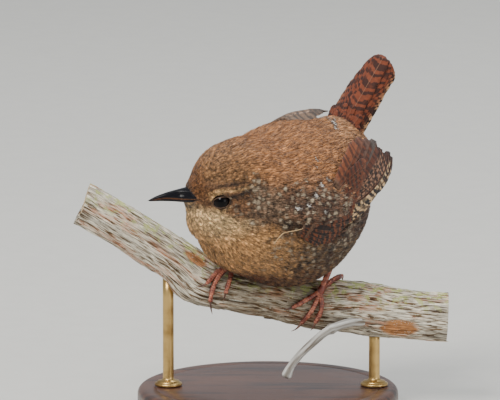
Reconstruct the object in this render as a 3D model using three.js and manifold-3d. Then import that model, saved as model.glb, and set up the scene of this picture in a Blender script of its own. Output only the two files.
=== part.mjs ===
// A life-size winter wren that squats on a cut length of branch, held over a round base by two short rods.
// Millimetres, +Z up. A viewer in front looks along +Y with +X to the right, and the origin is the middle of
// the base's underside.
import * as THREE from "three";
import { mergeVertices } from "three/addons/utils/BufferGeometryUtils.js";
import Module from "manifold-3d";

const wasm = await Module();
wasm.setup();

const DEGREE = Math.PI / 180;
const GAP = 0.3; // between pieces that touch
const UP = new THREE.Vector3(0, 0, 1);

// Lengths of the species and this bird's attitude.
const BILL = { gape: 9, tip: 23.1 }; // ahead of the head's middle
const EYE = { ball: 2.6, opening: 2.05, ahead: 2.8, aside: 6.1, below: 2.1 };
const TAIL = { length: 30, width: 15.4, pairs: 6, drop: 2.2, rise: 60 * DEGREE, twist: 22 * DEGREE };
const BODY_HEADING = 38 * DEGREE; // turned from -X towards the viewer
const BODY_ROLL = 10 * DEGREE; // left side down
const BODY_PITCH = 18 * DEGREE; // nose down
const HEAD_HEADING = 12 * DEGREE;
const BODY_AT = new THREE.Vector3(4.9, -6, 63);
const HEAD_AT = new THREE.Vector3(-11.9, -20.8, 68.6);

const BASE = { radius: 38, height: 7, chamfer: 1 };
const ROD = { radius: 1.6, foot: 4, footHeight: 1.4, left: -29, right: 31 };

const PAINT = {
  crown: [0x9c795a, 0.9, 0],
  torso: [0x8f6a48, 0.9, 0],
  wing: [0x6d4631, 0.85, 0],
  tail: [0x85573f, 0.85, 0],
  bill: [0x2a1c16, 0.35, 0],
  eye: [0x050607, 0.08, 0],
  leg: [0x793b2f, 0.5, 0],
  bark: [0xaba08b, 0.95, 0],
  twig: [0xb9b8b4, 0.9, 0],
  base: [0x3b2417, 0.4, 0],
  rod: [0xa88a4e, 0.35, 1],
};

// Vectors from plain numbers, and lengths between them.
const point = (x, y, z) => new THREE.Vector3(x, y, z);
const mix = THREE.MathUtils.lerp;
const smooth = THREE.MathUtils.smoothstep;

// A smooth curve through [position, value] rows, as a function of the position.
function through(rows) {
  const curve = new THREE.CubicInterpolant(rows.map(([at]) => at), rows.map(([, value]) => value), 1);
  return (at) => curve.evaluate(at)[0];
}

// Forward, left and up of a bird that faces -X, turned by its heading and rolled to its left.
function birdFrame(at, heading, roll = 0) {
  const forward = point(-Math.cos(heading), -Math.sin(heading), 0);
  const level = point(Math.sin(heading), -Math.cos(heading), 0);
  const left = level.clone().multiplyScalar(Math.cos(roll)).addScaledVector(UP, -Math.sin(roll));
  const up = UP.clone().multiplyScalar(Math.cos(roll)).addScaledVector(level, Math.sin(roll));
  return new THREE.Matrix4().makeBasis(forward, left, up).setPosition(at);
}

const body = birdFrame(BODY_AT, BODY_HEADING, BODY_ROLL);
const head = birdFrame(HEAD_AT, HEAD_HEADING);
const inFrame = (frame, f, l, u) => point(f, l, u).applyMatrix4(frame);
const turned = (frame, f, l, u) => point(f, l, u).transformDirection(frame);

// A closed solid from points and triangles, turned right side out.
function closed(points, faces) {
  let volume = 0;
  for (const [a, b, c] of faces) volume += points[a].dot(points[b].clone().cross(points[c]));
  const outward = volume < 0 ? faces.map(([a, b, c]) => [a, c, b]) : faces;
  const geometry = new THREE.BufferGeometry().setFromPoints(points);
  return solidOf(geometry.setIndex(outward.flat()));
}

// Merges a geometry's shared corners and hands it over for joining and cutting.
function solidOf(geometry) {
  const plain = geometry.clone();
  plain.deleteAttribute("normal");
  plain.deleteAttribute("uv");
  const merged = mergeVertices(plain, 1e-4);
  const vertProperties = new Float32Array(merged.attributes.position.array);
  const triVerts = new Uint32Array(merged.index.array);
  return new wasm.Manifold(new wasm.Mesh({ numProp: 3, vertProperties, triVerts }));
}

const joined = (pieces) => pieces.reduce((whole, piece) => whole.add(piece));

// The largest closed surface of a solid, as a named mesh with its paint.
function named(name, solid, paint) {
  const largest = solid.decompose().reduce((best, each) => (each.volume() > best.volume() ? each : best));
  const { numProp, vertProperties, triVerts } = largest.getMesh();
  const position = new THREE.BufferAttribute(new Float32Array(vertProperties), numProp);
  const geometry = new THREE.BufferGeometry().setAttribute("position", position);
  geometry.setIndex(new THREE.BufferAttribute(triVerts, 1));
  geometry.computeVertexNormals();
  const [color, roughness, metalness] = PAINT[paint];
  const mesh = new THREE.Mesh(geometry, new THREE.MeshStandardMaterial({ color, roughness, metalness }));
  mesh.name = name;
  return mesh;
}

// Joins rings of equally many points into one closed skin. The last ring may be a single point.
function loft(rings) {
  const points = rings.flat();
  const sides = rings[0].length;
  const faces = [];
  for (let side = 1; side < sides - 1; side++) faces.push([0, side + 1, side]);
  let start = 0;
  rings.slice(1).forEach((ring) => {
    const next = start + sides;
    for (let side = 0; side < sides; side++) {
      const beside = (side + 1) % sides;
      if (ring.length === 1) faces.push([start + side, start + beside, next]);
      else
        faces.push(
          [start + side, start + beside, next + beside],
          [start + side, next + beside, next + side],
        );
    }
    start = next;
  });
  if (rings.at(-1).length > 1)
    for (let side = 1; side < sides - 1; side++) faces.push([start, start + side, start + side + 1]);
  return closed(points, faces);
}

// A round tube through the given points, with a radius for each station along it.
function tube(route, radiusAt, stations, sides) {
  const curve = new THREE.CatmullRomCurve3(route);
  const frames = curve.computeFrenetFrames(stations);
  const rings = [];
  for (let station = 0; station <= stations; station++) {
    const along = station / stations;
    const middle = curve.getPointAt(along);
    const radius = radiusAt(along);
    rings.push(
      Array.from({ length: sides }, (_, side) => {
        const turn = (2 * Math.PI * side) / sides;
        return middle
          .clone()
          .addScaledVector(frames.normals[station], radius * Math.cos(turn))
          .addScaledVector(frames.binormals[station], radius * Math.sin(turn));
      }),
    );
  }
  return loft(rings);
}

// Flesh: rounded lobes that melt into one another.

const MELT = 2.6; // how deep two lobes run together
const HEAD_BALL = { at: [0.6, 0, 0.4], radius: 14 }; // parts the head from the torso

function lobe(frame, [f, l, u], half, pitch = 0) {
  const placed = frame
    .clone()
    .multiply(new THREE.Matrix4().makeTranslation(f, l, u))
    .multiply(new THREE.Matrix4().makeRotationY(pitch));
  return { toLobe: placed.invert(), half: point(...half) };
}

function lobeDistance({ toLobe, half }, at) {
  const local = at.clone().applyMatrix4(toLobe).divide(half);
  const reach = local.length();
  return (reach * (reach - 1)) / local.divide(half).length();
}

function melt(a, b) {
  const share = Math.max(MELT - Math.abs(a - b), 0) / MELT;
  return Math.min(a, b) - (share * share * MELT) / 4;
}

const bothSides = (make) => [make(1), make(-1)];

const lobes = [
  lobe(body, [-1.2, 0, 0], [24.8, 22.4, 23.2], BODY_PITCH), // barrel
  lobe(body, [13, 0, -7], [14.5, 15.8, 13.4]), // breast
  lobe(body, [0, 0, -7.2], [20, 20, 18]), // belly
  lobe(body, [-18.5, 0, 13], [13, 9, 8.5], -0.75), // rump, up to the tail
  lobe(body, [-17.4, 0, -5], [9.6, 9, 9]), // vent
  lobe(head, [-1.3, 0, 1.6], [12.8, 8.7, 11.4]), // skull
  lobe(head, [7.6, 0, -1.4], [6, 4.2, 4.4], 0.12), // face, up to the bill
  lobe(head, [3, 0, -8], [8, 7, 7.5]), // throat
  lobe(head, [-9.4, 0, 3.2], [13, 10, 10], -0.5), // nape
  ...bothSides((side) => lobe(head, [-4, side * 3.9, -5], [8, 5, 6.5])), // cheeks
  ...bothSides((side) => lobe(head, [0.5, side * 7.1, 1.4], [6.5, 1.4, 1.2], -0.08)), // brows
];

const fleshDistance = (at) => lobes.reduce((nearest, each) => melt(nearest, lobeDistance(each, at)), 1e3);

// Where a ray from inside the flesh leaves it, grown outwards by extra.
function leaves(from, direction, extra) {
  const FAR = 60;
  const inside = (reach) => fleshDistance(from.clone().addScaledVector(direction, reach)) < extra;
  let outer = FAR;
  while (!inside(outer - 1)) outer -= 1;
  let inner = outer - 1;
  for (let halving = 0; halving < 12; halving++) {
    const middle = (inner + outer) / 2;
    if (inside(middle)) inner = middle;
    else outer = middle;
  }
  return inner;
}

// The flesh as an even ball of triangles, seen from a point inside it.
function fleshFrom(centre, detail, extra = 0) {
  const ball = new THREE.IcosahedronGeometry(1, detail);
  const corners = ball.attributes.position;
  const at = new THREE.Vector3();
  for (let index = 0; index < corners.count; index++) {
    const direction = at.fromBufferAttribute(corners, index).normalize().clone();
    at.copy(centre).addScaledVector(direction, leaves(centre, direction, extra));
    corners.setXYZ(index, at.x, at.y, at.z);
  }
  return solidOf(ball);
}

// The head is parted from the torso by a ball round it, so that the neck's seam is a ring.
function headBall(extra = 0) {
  const ball = new THREE.IcosahedronGeometry(HEAD_BALL.radius + extra, 5);
  return solidOf(ball.translate(...inFrame(head, ...HEAD_BALL.at).toArray()));
}

// The perch: a bent branch with a knot, given by its middle line and radius.
const PERCH = [
  // x, z, radius
  [-53.4, 60.9, 6.5],
  [-37.1, 51.0, 6.4],
  [-27.0, 44.2, 6.6],
  [-19.7, 38.4, 7.4],
  [-11.0, 35.9, 7.0],
  [1.2, 33.7, 7.0],
  [15.1, 31.1, 7.5],
  [24.9, 30.3, 7.9],
  [35.4, 28.9, 7.6],
  [44.1, 28.1, 7.3],
  [52.2, 27.4, 7.4],
];
const perchLine = new THREE.CatmullRomCurve3(PERCH.map(([x, z]) => point(x, 0, z)));
const perchRadii = new THREE.CatmullRomCurve3(PERCH.map(([x, , radius]) => point(x, radius, 0)));

// The share of the perch's length at which its middle line passes x.
function perchShare(x) {
  let low = 0;
  let high = 1;
  for (let halving = 0; halving < 20; halving++) {
    const middle = (low + high) / 2;
    if (perchLine.getPoint(middle).x < x) low = middle;
    else high = middle;
  }
  return low;
}

// A point around the perch: turned from the top towards the viewer, and lifted off the bark.
function onPerch(x, turn, lift) {
  const share = perchShare(x);
  const along = perchLine.getTangent(share);
  const top = point(0, -1, 0).cross(along).normalize();
  const reach = perchRadii.getPoint(share).y + lift;
  return perchLine
    .getPoint(share)
    .addScaledVector(top, reach * Math.cos(turn))
    .addScaledVector(point(0, -1, 0), reach * Math.sin(turn));
}

function perchSolid(extra = 0) {
  const SIDES = 16;
  const STATIONS = 26;
  const rings = [];
  for (let station = 0; station <= STATIONS; station++) {
    const share = station / STATIONS;
    const x = mix(PERCH[0][0], PERCH.at(-1)[0], share);
    rings.push(
      Array.from({ length: SIDES }, (_, side) => {
        const turn = (2 * Math.PI * side) / SIDES;
        const ridge = 0.22 * Math.sin(3 * turn + 5 * share) + 0.14 * Math.sin(5 * turn - 9 * share);
        return onPerch(x, turn, extra - 0.3 + ridge);
      }),
    );
  }
  return loft(rings);
}

const perch = perchSolid();
const perchGrown = perchSolid(GAP);

function twigSolid() {
  const route = [
    [27.5, -5.5, 27.6],
    [21.5, -8.3, 26.8],
    [16.8, -9.2, 24.9],
    [13.0, -9.6, 21.8],
    [9.0, -9.9, 17.9],
    [6.5, -10.0, 14.4],
    [5.2, -10.0, 11.6],
  ].map(([x, y, z]) => point(x, y, z));
  const radiusAt = (along) => mix(1.3, 1.05, along) + 0.5 * smooth(along, 0.86, 1);
  return tube(route, radiusAt, 14, 8).subtract(perchGrown);
}

// Bill: two tapering mandibles that meet along the line of the mouth.

// Heights over the head's middle, and the bill's half width, by the distance ahead of it.
const culmen = through([[BILL.gape, 1.6], [13, 1.05], [18.5, 0], [21.5, -1.15], [BILL.tip, -2.35]]);
const mouth = through([[BILL.gape, -2.6], [13, -2.15], [18.5, -1.65], [BILL.tip, -2.4]]);
const gonys = through([[BILL.gape, -3.4], [13, -2.95], [18.5, -2.5], [BILL.tip, -2.45]]);
const billHalf = through([[BILL.gape, 2.6], [13, 1.75], [18.5, 0.95], [BILL.tip, 0.25]]);

function mandible(edge, sign, extra = 0) {
  const STATIONS = 8;
  const SIDES = 7;
  const reach = sign > 0 ? BILL.tip : BILL.tip - 0.5;
  const rings = Array.from({ length: STATIONS + 1 }, (_, station) => {
    const ahead = mix(BILL.gape - extra, reach, station / STATIONS);
    const flat = mouth(ahead) + sign * (GAP / 2 - extra);
    const rise = Math.max(Math.abs(edge(ahead) - mouth(ahead)), 0.35) + 2 * extra - GAP / 2;
    return Array.from({ length: SIDES }, (_, side) => {
      const turn = (Math.PI * side) / (SIDES - 1);
      const across = (billHalf(ahead) + extra) * Math.cos(turn);
      return inFrame(head, ahead, across, flat + sign * rise * Math.sin(turn));
    });
  });
  return loft(rings);
}

function nostril(side) {
  const slit = new THREE.SphereGeometry(1, 8, 6).scale(1, 0.5, 0.38);
  slit.rotateY(0.16);
  slit.translate(13.9, side * 1.35, -0.5);
  return solidOf(slit.applyMatrix4(head));
}

// Eyes and the rings of lid round them.

const eyeAt = (side) => inFrame(head, EYE.ahead, side * EYE.aside, -EYE.below);
const eyeOut = (side) => turned(head, 0.18, side, 0.06);

function eyeball(side, extra = 0) {
  const ball = new THREE.SphereGeometry(EYE.ball + extra, 14, 10);
  return solidOf(ball.translate(...eyeAt(side).toArray()));
}

function lid(side) {
  const THICK = 0.5;
  const ring = new THREE.TorusGeometry(EYE.opening + 0.35, THICK, 6, 16);
  const facing = new THREE.Quaternion().setFromUnitVectors(UP, eyeOut(side));
  const rise = Math.sqrt(EYE.ball ** 2 - EYE.opening ** 2) + THICK / 2;
  const at = eyeAt(side).addScaledVector(eyeOut(side), rise);
  return solidOf(ring.applyQuaternion(facing).translate(...at.toArray()));
}

// Feathers: flat vanes laid on a curved sheet. sheet(f, u, lift) gives a point on it.

// A thin closed piece between two grids of points, split into the same triangles on both faces.
function slab(top, bottom) {
  const [rows, columns] = [top.length, top[0].length];
  const at = (row, column) => row * columns + column;
  const under = rows * columns;
  const faces = [];
  for (let row = 0; row < rows - 1; row++)
    for (let column = 0; column < columns - 1; column++) {
      const corner = at(row, column);
      const across = at(row + 1, column + 1);
      for (const other of [at(row + 1, column), at(row, column + 1)]) {
        const face = other === at(row + 1, column) ? [corner, other, across] : [corner, across, other];
        faces.push(face, face.map((index) => index + under).reverse());
      }
    }
  const rim = [];
  for (let row = 0; row < rows - 1; row++) rim.push(at(row, 0));
  for (let column = 0; column < columns - 1; column++) rim.push(at(rows - 1, column));
  for (let row = rows - 1; row > 0; row--) rim.push(at(row, columns - 1));
  for (let column = columns - 1; column > 0; column--) rim.push(at(0, column));
  rim.forEach((here, index) => {
    const next = rim[(index + 1) % rim.length];
    faces.push([next, here, here + under], [next, here + under, next + under]);
  });
  return closed([...top.flat(), ...bottom.flat()], faces);
}

const VANE = { thick: 0.55, tip: 0.3 };

// One vane from its root to its tip in the sheet's own flat coordinates. bend bows it to one side,
// and rise lifts its tip over what it covers.
function vane(sheet, { root, tip, width, lift, rise = 0, bend = 0, pointed = 0 }) {
  const STATIONS = [0, 0.42, 0.82, 1];
  const WIDTHS = [0.6, 1, 0.86, 0.4 - 0.2 * pointed];
  const [df, du] = [tip[0] - root[0], tip[1] - root[1]];
  const length = Math.hypot(df, du);
  const [ef, eu] = [-du / length, df / length];
  const grid = (thick) =>
    STATIONS.map((along, index) => {
      const bow = 4 * bend * along * (1 - along);
      const f = root[0] + df * along + ef * bow;
      const u = root[1] + du * along + eu * bow;
      const half = (width / 2) * WIDTHS[index];
      const thins = mix(1, VANE.tip / VANE.thick, smooth(along, 0.7, 1));
      const height = lift + rise * smooth(along, 0, 0.6) + thick * thins;
      return [-half, half].map((aside) => sheet(f + ef * aside, u + eu * aside, height));
    });
  return slab(grid(VANE.thick), grid(0));
}

// A tier of vanes: each is worked out from its place in the tier, from 0 to 1.
const tier = (count, shape) => Array.from({ length: count }, (_, index) => shape(index / (count - 1), index));

const row = (from, to) => (share) => [mix(from[0], to[0], share), mix(from[1], to[1], share)];

// Wing: the folded wing lies on a shallow ellipsoid beside the body.

const WING_SHEET = { half: [46, 21.5, 27.5], forward: 5 };

function wingSheet(side) {
  const [a, b, c] = WING_SHEET.half;
  return (f, u, lift) => {
    const x = (f - WING_SHEET.forward) / a;
    const z = u / c;
    const y = Math.sqrt(Math.max(1 - x * x - z * z, 0.02));
    const normal = point(x / a, y / b, z / c).normalize();
    const at = point(f, y * b, u).addScaledVector(normal, lift);
    return inFrame(body, at.x, side * at.y, at.z);
  };
}

// The folded wing's outline from the side, forward and up from the body's middle.
const WING_LOWER = [[12.6, 0], [10, -2.2], [3, -3.4], [-8, -2.2], [-15.5, 2.2], [-21.8, 7.2], [-28.4, 13]];
const WING_UPPER = [
  [13, 2.2],
  [10, 4.6],
  [4, 8.2],
  [-3, 12.4],
  [-10, 17.8],
  [-15.5, 20.8],
  [-21, 18.6],
  [-25.4, 15.2],
  [-29, 13.5],
];
const alongRow = (outline, share) =>
  new THREE.CatmullRomCurve3(outline.map(([f, u]) => point(f, u, 0))).getPoint(share);

// A shell over the wing's outline between two lifts, widened all round by extra, as far back as reach.
function wingShell(side, low, high, extra = 0, reach = 1) {
  const sheet = wingSheet(side);
  const STATIONS = 10;
  const ACROSS = 3;
  const grid = (liftAt) =>
    Array.from({ length: STATIONS + 1 }, (_, station) => {
      const share = (reach * station) / STATIONS;
      const lower = alongRow(WING_LOWER, share);
      const upper = alongRow(WING_UPPER, share);
      const aside = upper.clone().sub(lower).normalize().multiplyScalar(extra);
      const end = station === 0 ? extra : station === STATIONS ? -extra : 0;
      lower.sub(aside);
      upper.add(aside);
      return Array.from({ length: ACROSS + 1 }, (_, across) => {
        const at = lower.clone().lerp(upper, across / ACROSS);
        return sheet(at.x + end, at.y, liftAt(share, across / ACROSS));
      });
    });
  return slab(grid(high), grid(low));
}

// Vanes of one folded wing, from the outer flight feathers up to the coverts that hide their roots.
function wingVanes() {
  const PRIMARY_TIPS = [[-13, 1.8], [-18.6, 5.8], [-23.6, 9.8], [-27.8, 13], [-28.6, 13.8], [-26.8, 14.6]];
  const primaries = tier(7, (share) => {
    const tip = alongRow(PRIMARY_TIPS, share);
    return {
      root: row([6.5, -0.6], [-1.5, 4])(share),
      tip: [tip.x, tip.y],
      width: mix(4, 5, share),
      lift: mix(0, 1.1, share),
      bend: mix(0.8, 1.8, share),
      pointed: 0.6,
    };
  });
  const secondaries = tier(5, (share) => ({
    root: row([1, 4.5], [-1.4, 9.6])(share),
    tip: row([-25.2, 14.2], [-17.6, 18.8])(share),
    width: 5,
    lift: mix(1.1, 1.9, share),
    bend: 1.2,
  }));
  const tertials = tier(3, (share) => ({
    root: row([-1, 7.4], [0, 9.6])(share),
    tip: row([-19.5, 17.6], [-12.5, 18.2])(share),
    width: 5.6,
    lift: mix(2, 2.4, share),
  }));
  const greaterCoverts = tier(6, (share) => ({
    root: row([9, 2], [1.4, 8.2])(share),
    tip: row([-1.2, 4.8], [-8.4, 13])(share),
    width: 4.2,
    lift: 1,
    rise: 1 + 0.4 * share,
  }));
  const medianCoverts = tier(5, (share) => ({
    root: row([11, 1.6], [4.6, 6.2])(share),
    tip: row([4.6, 4], [-1.4, 9.4])(share),
    width: 3.8,
    lift: 1.3,
    rise: 1.4,
  }));
  const primaryCoverts = tier(2, (share) => ({
    root: row([9.5, -0.8], [8, 1.4])(share),
    tip: row([-0.5, -1.4], [-2.6, 2.8])(share),
    width: 2.6,
    lift: mix(0.5, 1, share),
    rise: 0.5,
    pointed: 0.5,
  }));
  return [primaries, secondaries, tertials, greaterCoverts, medianCoverts, primaryCoverts].flat();
}

function wingSolid(side) {
  const sheet = wingSheet(side);
  const coreTop = (share, across) => mix(2, 0.5, smooth(share, 0.25, 0.6)) - 1.2 * (1 - across) ** 2;
  const core = wingShell(side, () => 0, coreTop, 0, 0.6);
  return joined([core, ...wingVanes().map((shape) => vane(sheet, shape))]);
}

// The hollow that a wing lies in, open to the outside.
const wingPocket = (side) => wingShell(side, () => -GAP, () => 9, GAP);

// Tail: cocked up from the rump, its feathers stacked like a shallow roof.

const TAIL_ROOT = [-14.9, 0, 14.5];

function tailFrame() {
  const along = turned(body, -Math.cos(TAIL.rise), 0, Math.sin(TAIL.rise));
  const across = turned(body, 0, 1, 0).applyAxisAngle(along, TAIL.twist);
  const over = across.clone().cross(along);
  return new THREE.Matrix4().makeBasis(along, across, over).setPosition(inFrame(body, ...TAIL_ROOT));
}

const tail = tailFrame();

function tailSheet(along, across, lift) {
  const aside = across / (TAIL.width / 2);
  return point(along, across, lift - TAIL.drop * aside * aside).applyMatrix4(tail);
}

function tailSolid() {
  const spread = TAIL.width / 2 - 2.5;
  const feathers = [1, -1].flatMap((side) =>
    tier(TAIL.pairs, (share) => ({
      root: [1, side * mix(0.2, 1.4, share)],
      tip: [TAIL.length - 4.6 * share * share, side * mix(0.5, spread, share)],
      width: mix(5, 4.6, share),
      lift: -2.1 * share - (side > 0 ? 0 : 0.18),
      bend: -0.5 * side * share,
    })),
  );
  const coverts = tier(5, (share) => ({
    root: [2, mix(-1.6, 1.6, share)],
    tip: [15.5 - 9 * (share - 0.5) ** 2, mix(-4, 4, share)],
    width: 4.4,
    lift: 0,
    rise: 0.6,
  }));
  const underCoverts = tier(3, (share) => ({
    root: [2, mix(-1, 1, share)],
    tip: [15, mix(-3, 3, share)],
    width: 4.4,
    lift: -2.6,
    rise: -0.4,
  }));
  return joined([...feathers, ...coverts, ...underCoverts].map((shape) => vane(tailSheet, shape)));
}

// Legs: a shank from the belly, three toes forward over the bark and one behind, each with its claw.

const TOE_RADIUS = 0.66;
const CLAW_LENGTH = 0.3; // the claw's share of a toe

const FEET = {
  right: {
    ankle: [-12.2, 30 * DEGREE, 1.6],
    heel: [-6.5, -1.5, 54],
    toes: [
      [[-16.0, 52], [-18.6, 84], [-20.0, 98]],
      [[-15.0, 58], [-15.9, 118], [-14.8, 152]],
      [[-11.8, 52], [-12.2, 86], [-12.4, 112]],
      [[-10.4, -10], [-8.8, -45], [-8.4, -78]],
    ],
  },
  left: {
    ankle: [14.5, 54 * DEGREE, 1.5],
    heel: [20.5, -5, 50],
    toes: [
      [[10.0, 78], [6.4, 98], [4.6, 104]],
      [[12.8, 96], [10.8, 130], [8.6, 158]],
      [[15.4, 92], [14.4, 124], [13.9, 150]],
      [[17.6, 24], [20.8, -8], [21.4, -44]],
    ],
  },
};

function legSolid({ ankle, heel, toes }) {
  const foot = onPerch(...ankle);
  const shank = tube([foot, foot.clone().lerp(point(...heel), 0.5), point(...heel)], () => 0.78, 5, 8);
  const knuckle = solidOf(new THREE.IcosahedronGeometry(1.15, 1).translate(...foot.toArray()));
  const pieces = toes.map((stations) => {
    const along = stations.map(([x, turn], index) => onPerch(x, turn * DEGREE, index === 2 ? 0.5 : 0.85));
    const pad = (share) => 1 + 0.16 * Math.cos(share * 6 * Math.PI);
    const taper = (share) => mix(1, 0.12, smooth(share, 1 - CLAW_LENGTH, 1));
    return tube([foot, ...along], (share) => TOE_RADIUS * pad(share) * taper(share), 10, 6);
  });
  return joined([shank, knuckle, ...pieces]);
}

// Stand: a turned base and two rods, each with a foot and cut to the perch.

function baseSolid() {
  const { radius, height, chamfer } = BASE;
  const profile = [
    [0, 0],
    [radius - chamfer, 0],
    [radius, chamfer],
    [radius, height - 2 * chamfer],
    [radius - 2 * chamfer, height],
    [0, height],
  ].map(([r, z]) => new THREE.Vector2(r, z));
  return solidOf(new THREE.LatheGeometry(profile, 64).rotateX(Math.PI / 2));
}

function rodSolid(x) {
  const top = perchLine.getPoint(perchShare(x)).z;
  const low = BASE.height + GAP;
  const profile = [
    [0, low],
    [ROD.foot, low],
    [ROD.foot - 0.6, low + ROD.footHeight],
    [ROD.radius, low + ROD.footHeight + 0.5],
    [ROD.radius, top],
    [0, top],
  ].map(([r, z]) => new THREE.Vector2(r, z));
  const rod = new THREE.LatheGeometry(profile, 16).rotateX(Math.PI / 2).translate(x, 0, 0);
  return solidOf(rod).subtract(perchGrown);
}

function birdParts() {
  const fleshGrown = fleshFrom(BODY_AT, 8, GAP + 0.1);
  const headFlesh = fleshFrom(HEAD_AT, 8).intersect(headBall());
  const torsoFlesh = fleshFrom(BODY_AT, 8).subtract(headBall(GAP));
  const sides = { left: 1, right: -1 };
  const wings = Object.entries(sides).map(([name, side]) => named(`wing_${name}`, wingSolid(side), "wing"));
  const legs = Object.entries(FEET).map(([name, foot]) => {
    const leg = legSolid(foot).subtract(perchGrown).subtract(fleshGrown);
    return named(`leg_${name}`, leg, "leg");
  });
  const eyes = Object.entries(sides).map(([name, side]) => named(`eye_${name}`, eyeball(side), "eye"));
  const seat = joined([mandible(culmen, 1, GAP), mandible(gonys, -1, GAP)]);
  const upper = mandible(culmen, 1).subtract(nostril(1)).subtract(nostril(-1));
  const headSolid = joined([headFlesh, lid(1), lid(-1)])
    .subtract(eyeball(1, GAP))
    .subtract(eyeball(-1, GAP))
    .subtract(seat);
  const torsoSolid = torsoFlesh
    .subtract(wingPocket(1))
    .subtract(wingPocket(-1))
    .subtract(perchGrown);
  return [
    named("head", headSolid, "crown"),
    named("torso", torsoSolid, "torso"),
    named("tail", tailSolid().subtract(fleshGrown), "tail"),
    named("bill_upper", upper, "bill"),
    named("bill_lower", mandible(gonys, -1), "bill"),
    ...eyes,
    ...wings,
    ...legs,
  ];
}

const wren = new THREE.Group();
wren.add(
  ...birdParts(),
  named("perch_branch", perch, "bark"),
  named("perch_twig", twigSolid(), "twig"),
  named("stand_base", baseSolid(), "base"),
  named("stand_rod_left", rodSolid(ROD.left), "rod"),
  named("stand_rod_right", rodSolid(ROD.right), "rod"),
);

export default wren;
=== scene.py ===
"""The looks of a life-size winter wren that squats on a cut branch over a turned wooden base.

Places are worked out in millimetres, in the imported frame, and become metres when a mesh is made. The bird has
two sets of axes, forward, left and up: the head's come from its eyes and the body's from its attitude.
"""

from __future__ import annotations

import logging
import math
from dataclasses import dataclass, field
from enum import Enum
from typing import Callable, Sequence

import bmesh
import bpy
import numpy as np
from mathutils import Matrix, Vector


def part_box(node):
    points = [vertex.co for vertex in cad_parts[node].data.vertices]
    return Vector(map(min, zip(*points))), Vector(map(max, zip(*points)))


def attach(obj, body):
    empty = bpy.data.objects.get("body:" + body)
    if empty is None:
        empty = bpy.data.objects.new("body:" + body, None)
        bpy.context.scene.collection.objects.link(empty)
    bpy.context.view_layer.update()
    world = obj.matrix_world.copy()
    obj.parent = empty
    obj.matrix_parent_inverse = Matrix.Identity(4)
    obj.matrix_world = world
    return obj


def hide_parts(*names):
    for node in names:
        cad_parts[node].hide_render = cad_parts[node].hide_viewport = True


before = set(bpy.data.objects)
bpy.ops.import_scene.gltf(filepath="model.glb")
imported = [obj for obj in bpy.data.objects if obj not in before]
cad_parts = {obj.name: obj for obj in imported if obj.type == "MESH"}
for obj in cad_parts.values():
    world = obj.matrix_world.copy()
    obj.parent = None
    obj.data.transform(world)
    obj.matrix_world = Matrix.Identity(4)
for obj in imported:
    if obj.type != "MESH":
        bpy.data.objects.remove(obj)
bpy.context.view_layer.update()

LOG = logging.getLogger("wren")
MM = 0.001
BODY = "root"
SIDES = {"left": 1, "right": -1}
EPS = 1e-9
FULL_TURN = 2 * math.pi

Array = np.ndarray
Material = bpy.types.Material
Socket = bpy.types.NodeSocket
Pair = tuple[float, float]
Triple = tuple[float, float, float]
Rows = tuple[tuple[float, ...], ...]


# Small maths


def smooth(value: Array | float, low: float, high: float) -> Array:
    """Rises smoothly from 0 at low to 1 at high."""
    share = np.clip((np.asarray(value, float) - low) / (high - low), 0.0, 1.0)
    return share * share * (3 - 2 * share)


def mix(a: Array | float, b: Array | float, share: Array | float) -> Array:
    """Goes from a to b as share goes from 0 to 1."""
    return np.asarray(a) + (np.asarray(b) - np.asarray(a)) * np.asarray(share)


def tinted(a: Array, b: Array, share: Array) -> Array:
    """Mixes colours by a share for each row."""
    return mix(a, b, np.asarray(share)[..., None])


def unit(vectors: Array) -> Array:
    """Vectors of length one along the last axis."""
    return vectors / (np.linalg.norm(vectors, axis=-1, keepdims=True) + EPS)


def dot(a: Array, b: Array) -> Array:
    """Dot product along the last axis, which is kept."""
    return np.sum(a * b, axis=-1, keepdims=True)


def bump_at(value: Array, middle: float, width: float) -> Array:
    """A soft bump of height 1 round middle."""
    return np.exp(-(((value - middle) / width) ** 2))


def linear(red: float, green: float, blue: float) -> Array:
    """A display colour, 0 to 255 a channel, as linear light."""
    shown = np.array([red, green, blue], float) / 255
    return np.where(shown <= 0.04045, shown / 12.92, ((shown + 0.055) / 1.055) ** 2.4)


def tone(red: float, green: float, blue: float) -> Triple:
    """A display colour as three plain numbers of linear light."""
    return tuple(linear(red, green, blue).tolist())


def tint(red: float, green: float, blue: float) -> Array:
    """A dataclass field that holds a display colour as linear light."""
    return field(default_factory=lambda: linear(red, green, blue))


def lattice(cell: Array, seed: int) -> Array:
    """A fixed random value from -1 to 1 for each whole-number cell.

    Args:
        cell: Whole numbers, three in the last axis.
        seed: Chooses one of many such sets.

    Returns:
        One value for each cell.
    """
    x, y, z = (cell[..., axis].astype(np.int64) for axis in range(3))
    mixed = (x * 73856093) ^ (y * 19349663) ^ (z * 83492791) ^ (seed * 2654435761)
    mixed = (mixed ^ (mixed >> 13)) * 1274126177
    return ((mixed ^ (mixed >> 16)) & 0xFFFF) / 32767.5 - 1


def noise(points: Array, size: float, seed: int = 0) -> Array:
    """Smooth noise from about -1 to 1.

    Args:
        points: Places, with three numbers in the last axis.
        size: How far apart its features lie, in the points' unit.
        seed: Chooses one of many such fields.

    Returns:
        One value for each place.
    """
    spot = points / size + 31.7
    cell = np.floor(spot)
    share = spot - cell
    share = share * share * (3 - 2 * share)
    total = np.zeros(points.shape[:-1])
    for dx in (0, 1):
        for dy in (0, 1):
            for dz in (0, 1):
                weight = np.ones(points.shape[:-1])
                for axis, step in enumerate((dx, dy, dz)):
                    weight = weight * (share[..., axis] if step else 1 - share[..., axis])
                total += weight * lattice(cell + (dx, dy, dz), seed)
    return total


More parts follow.
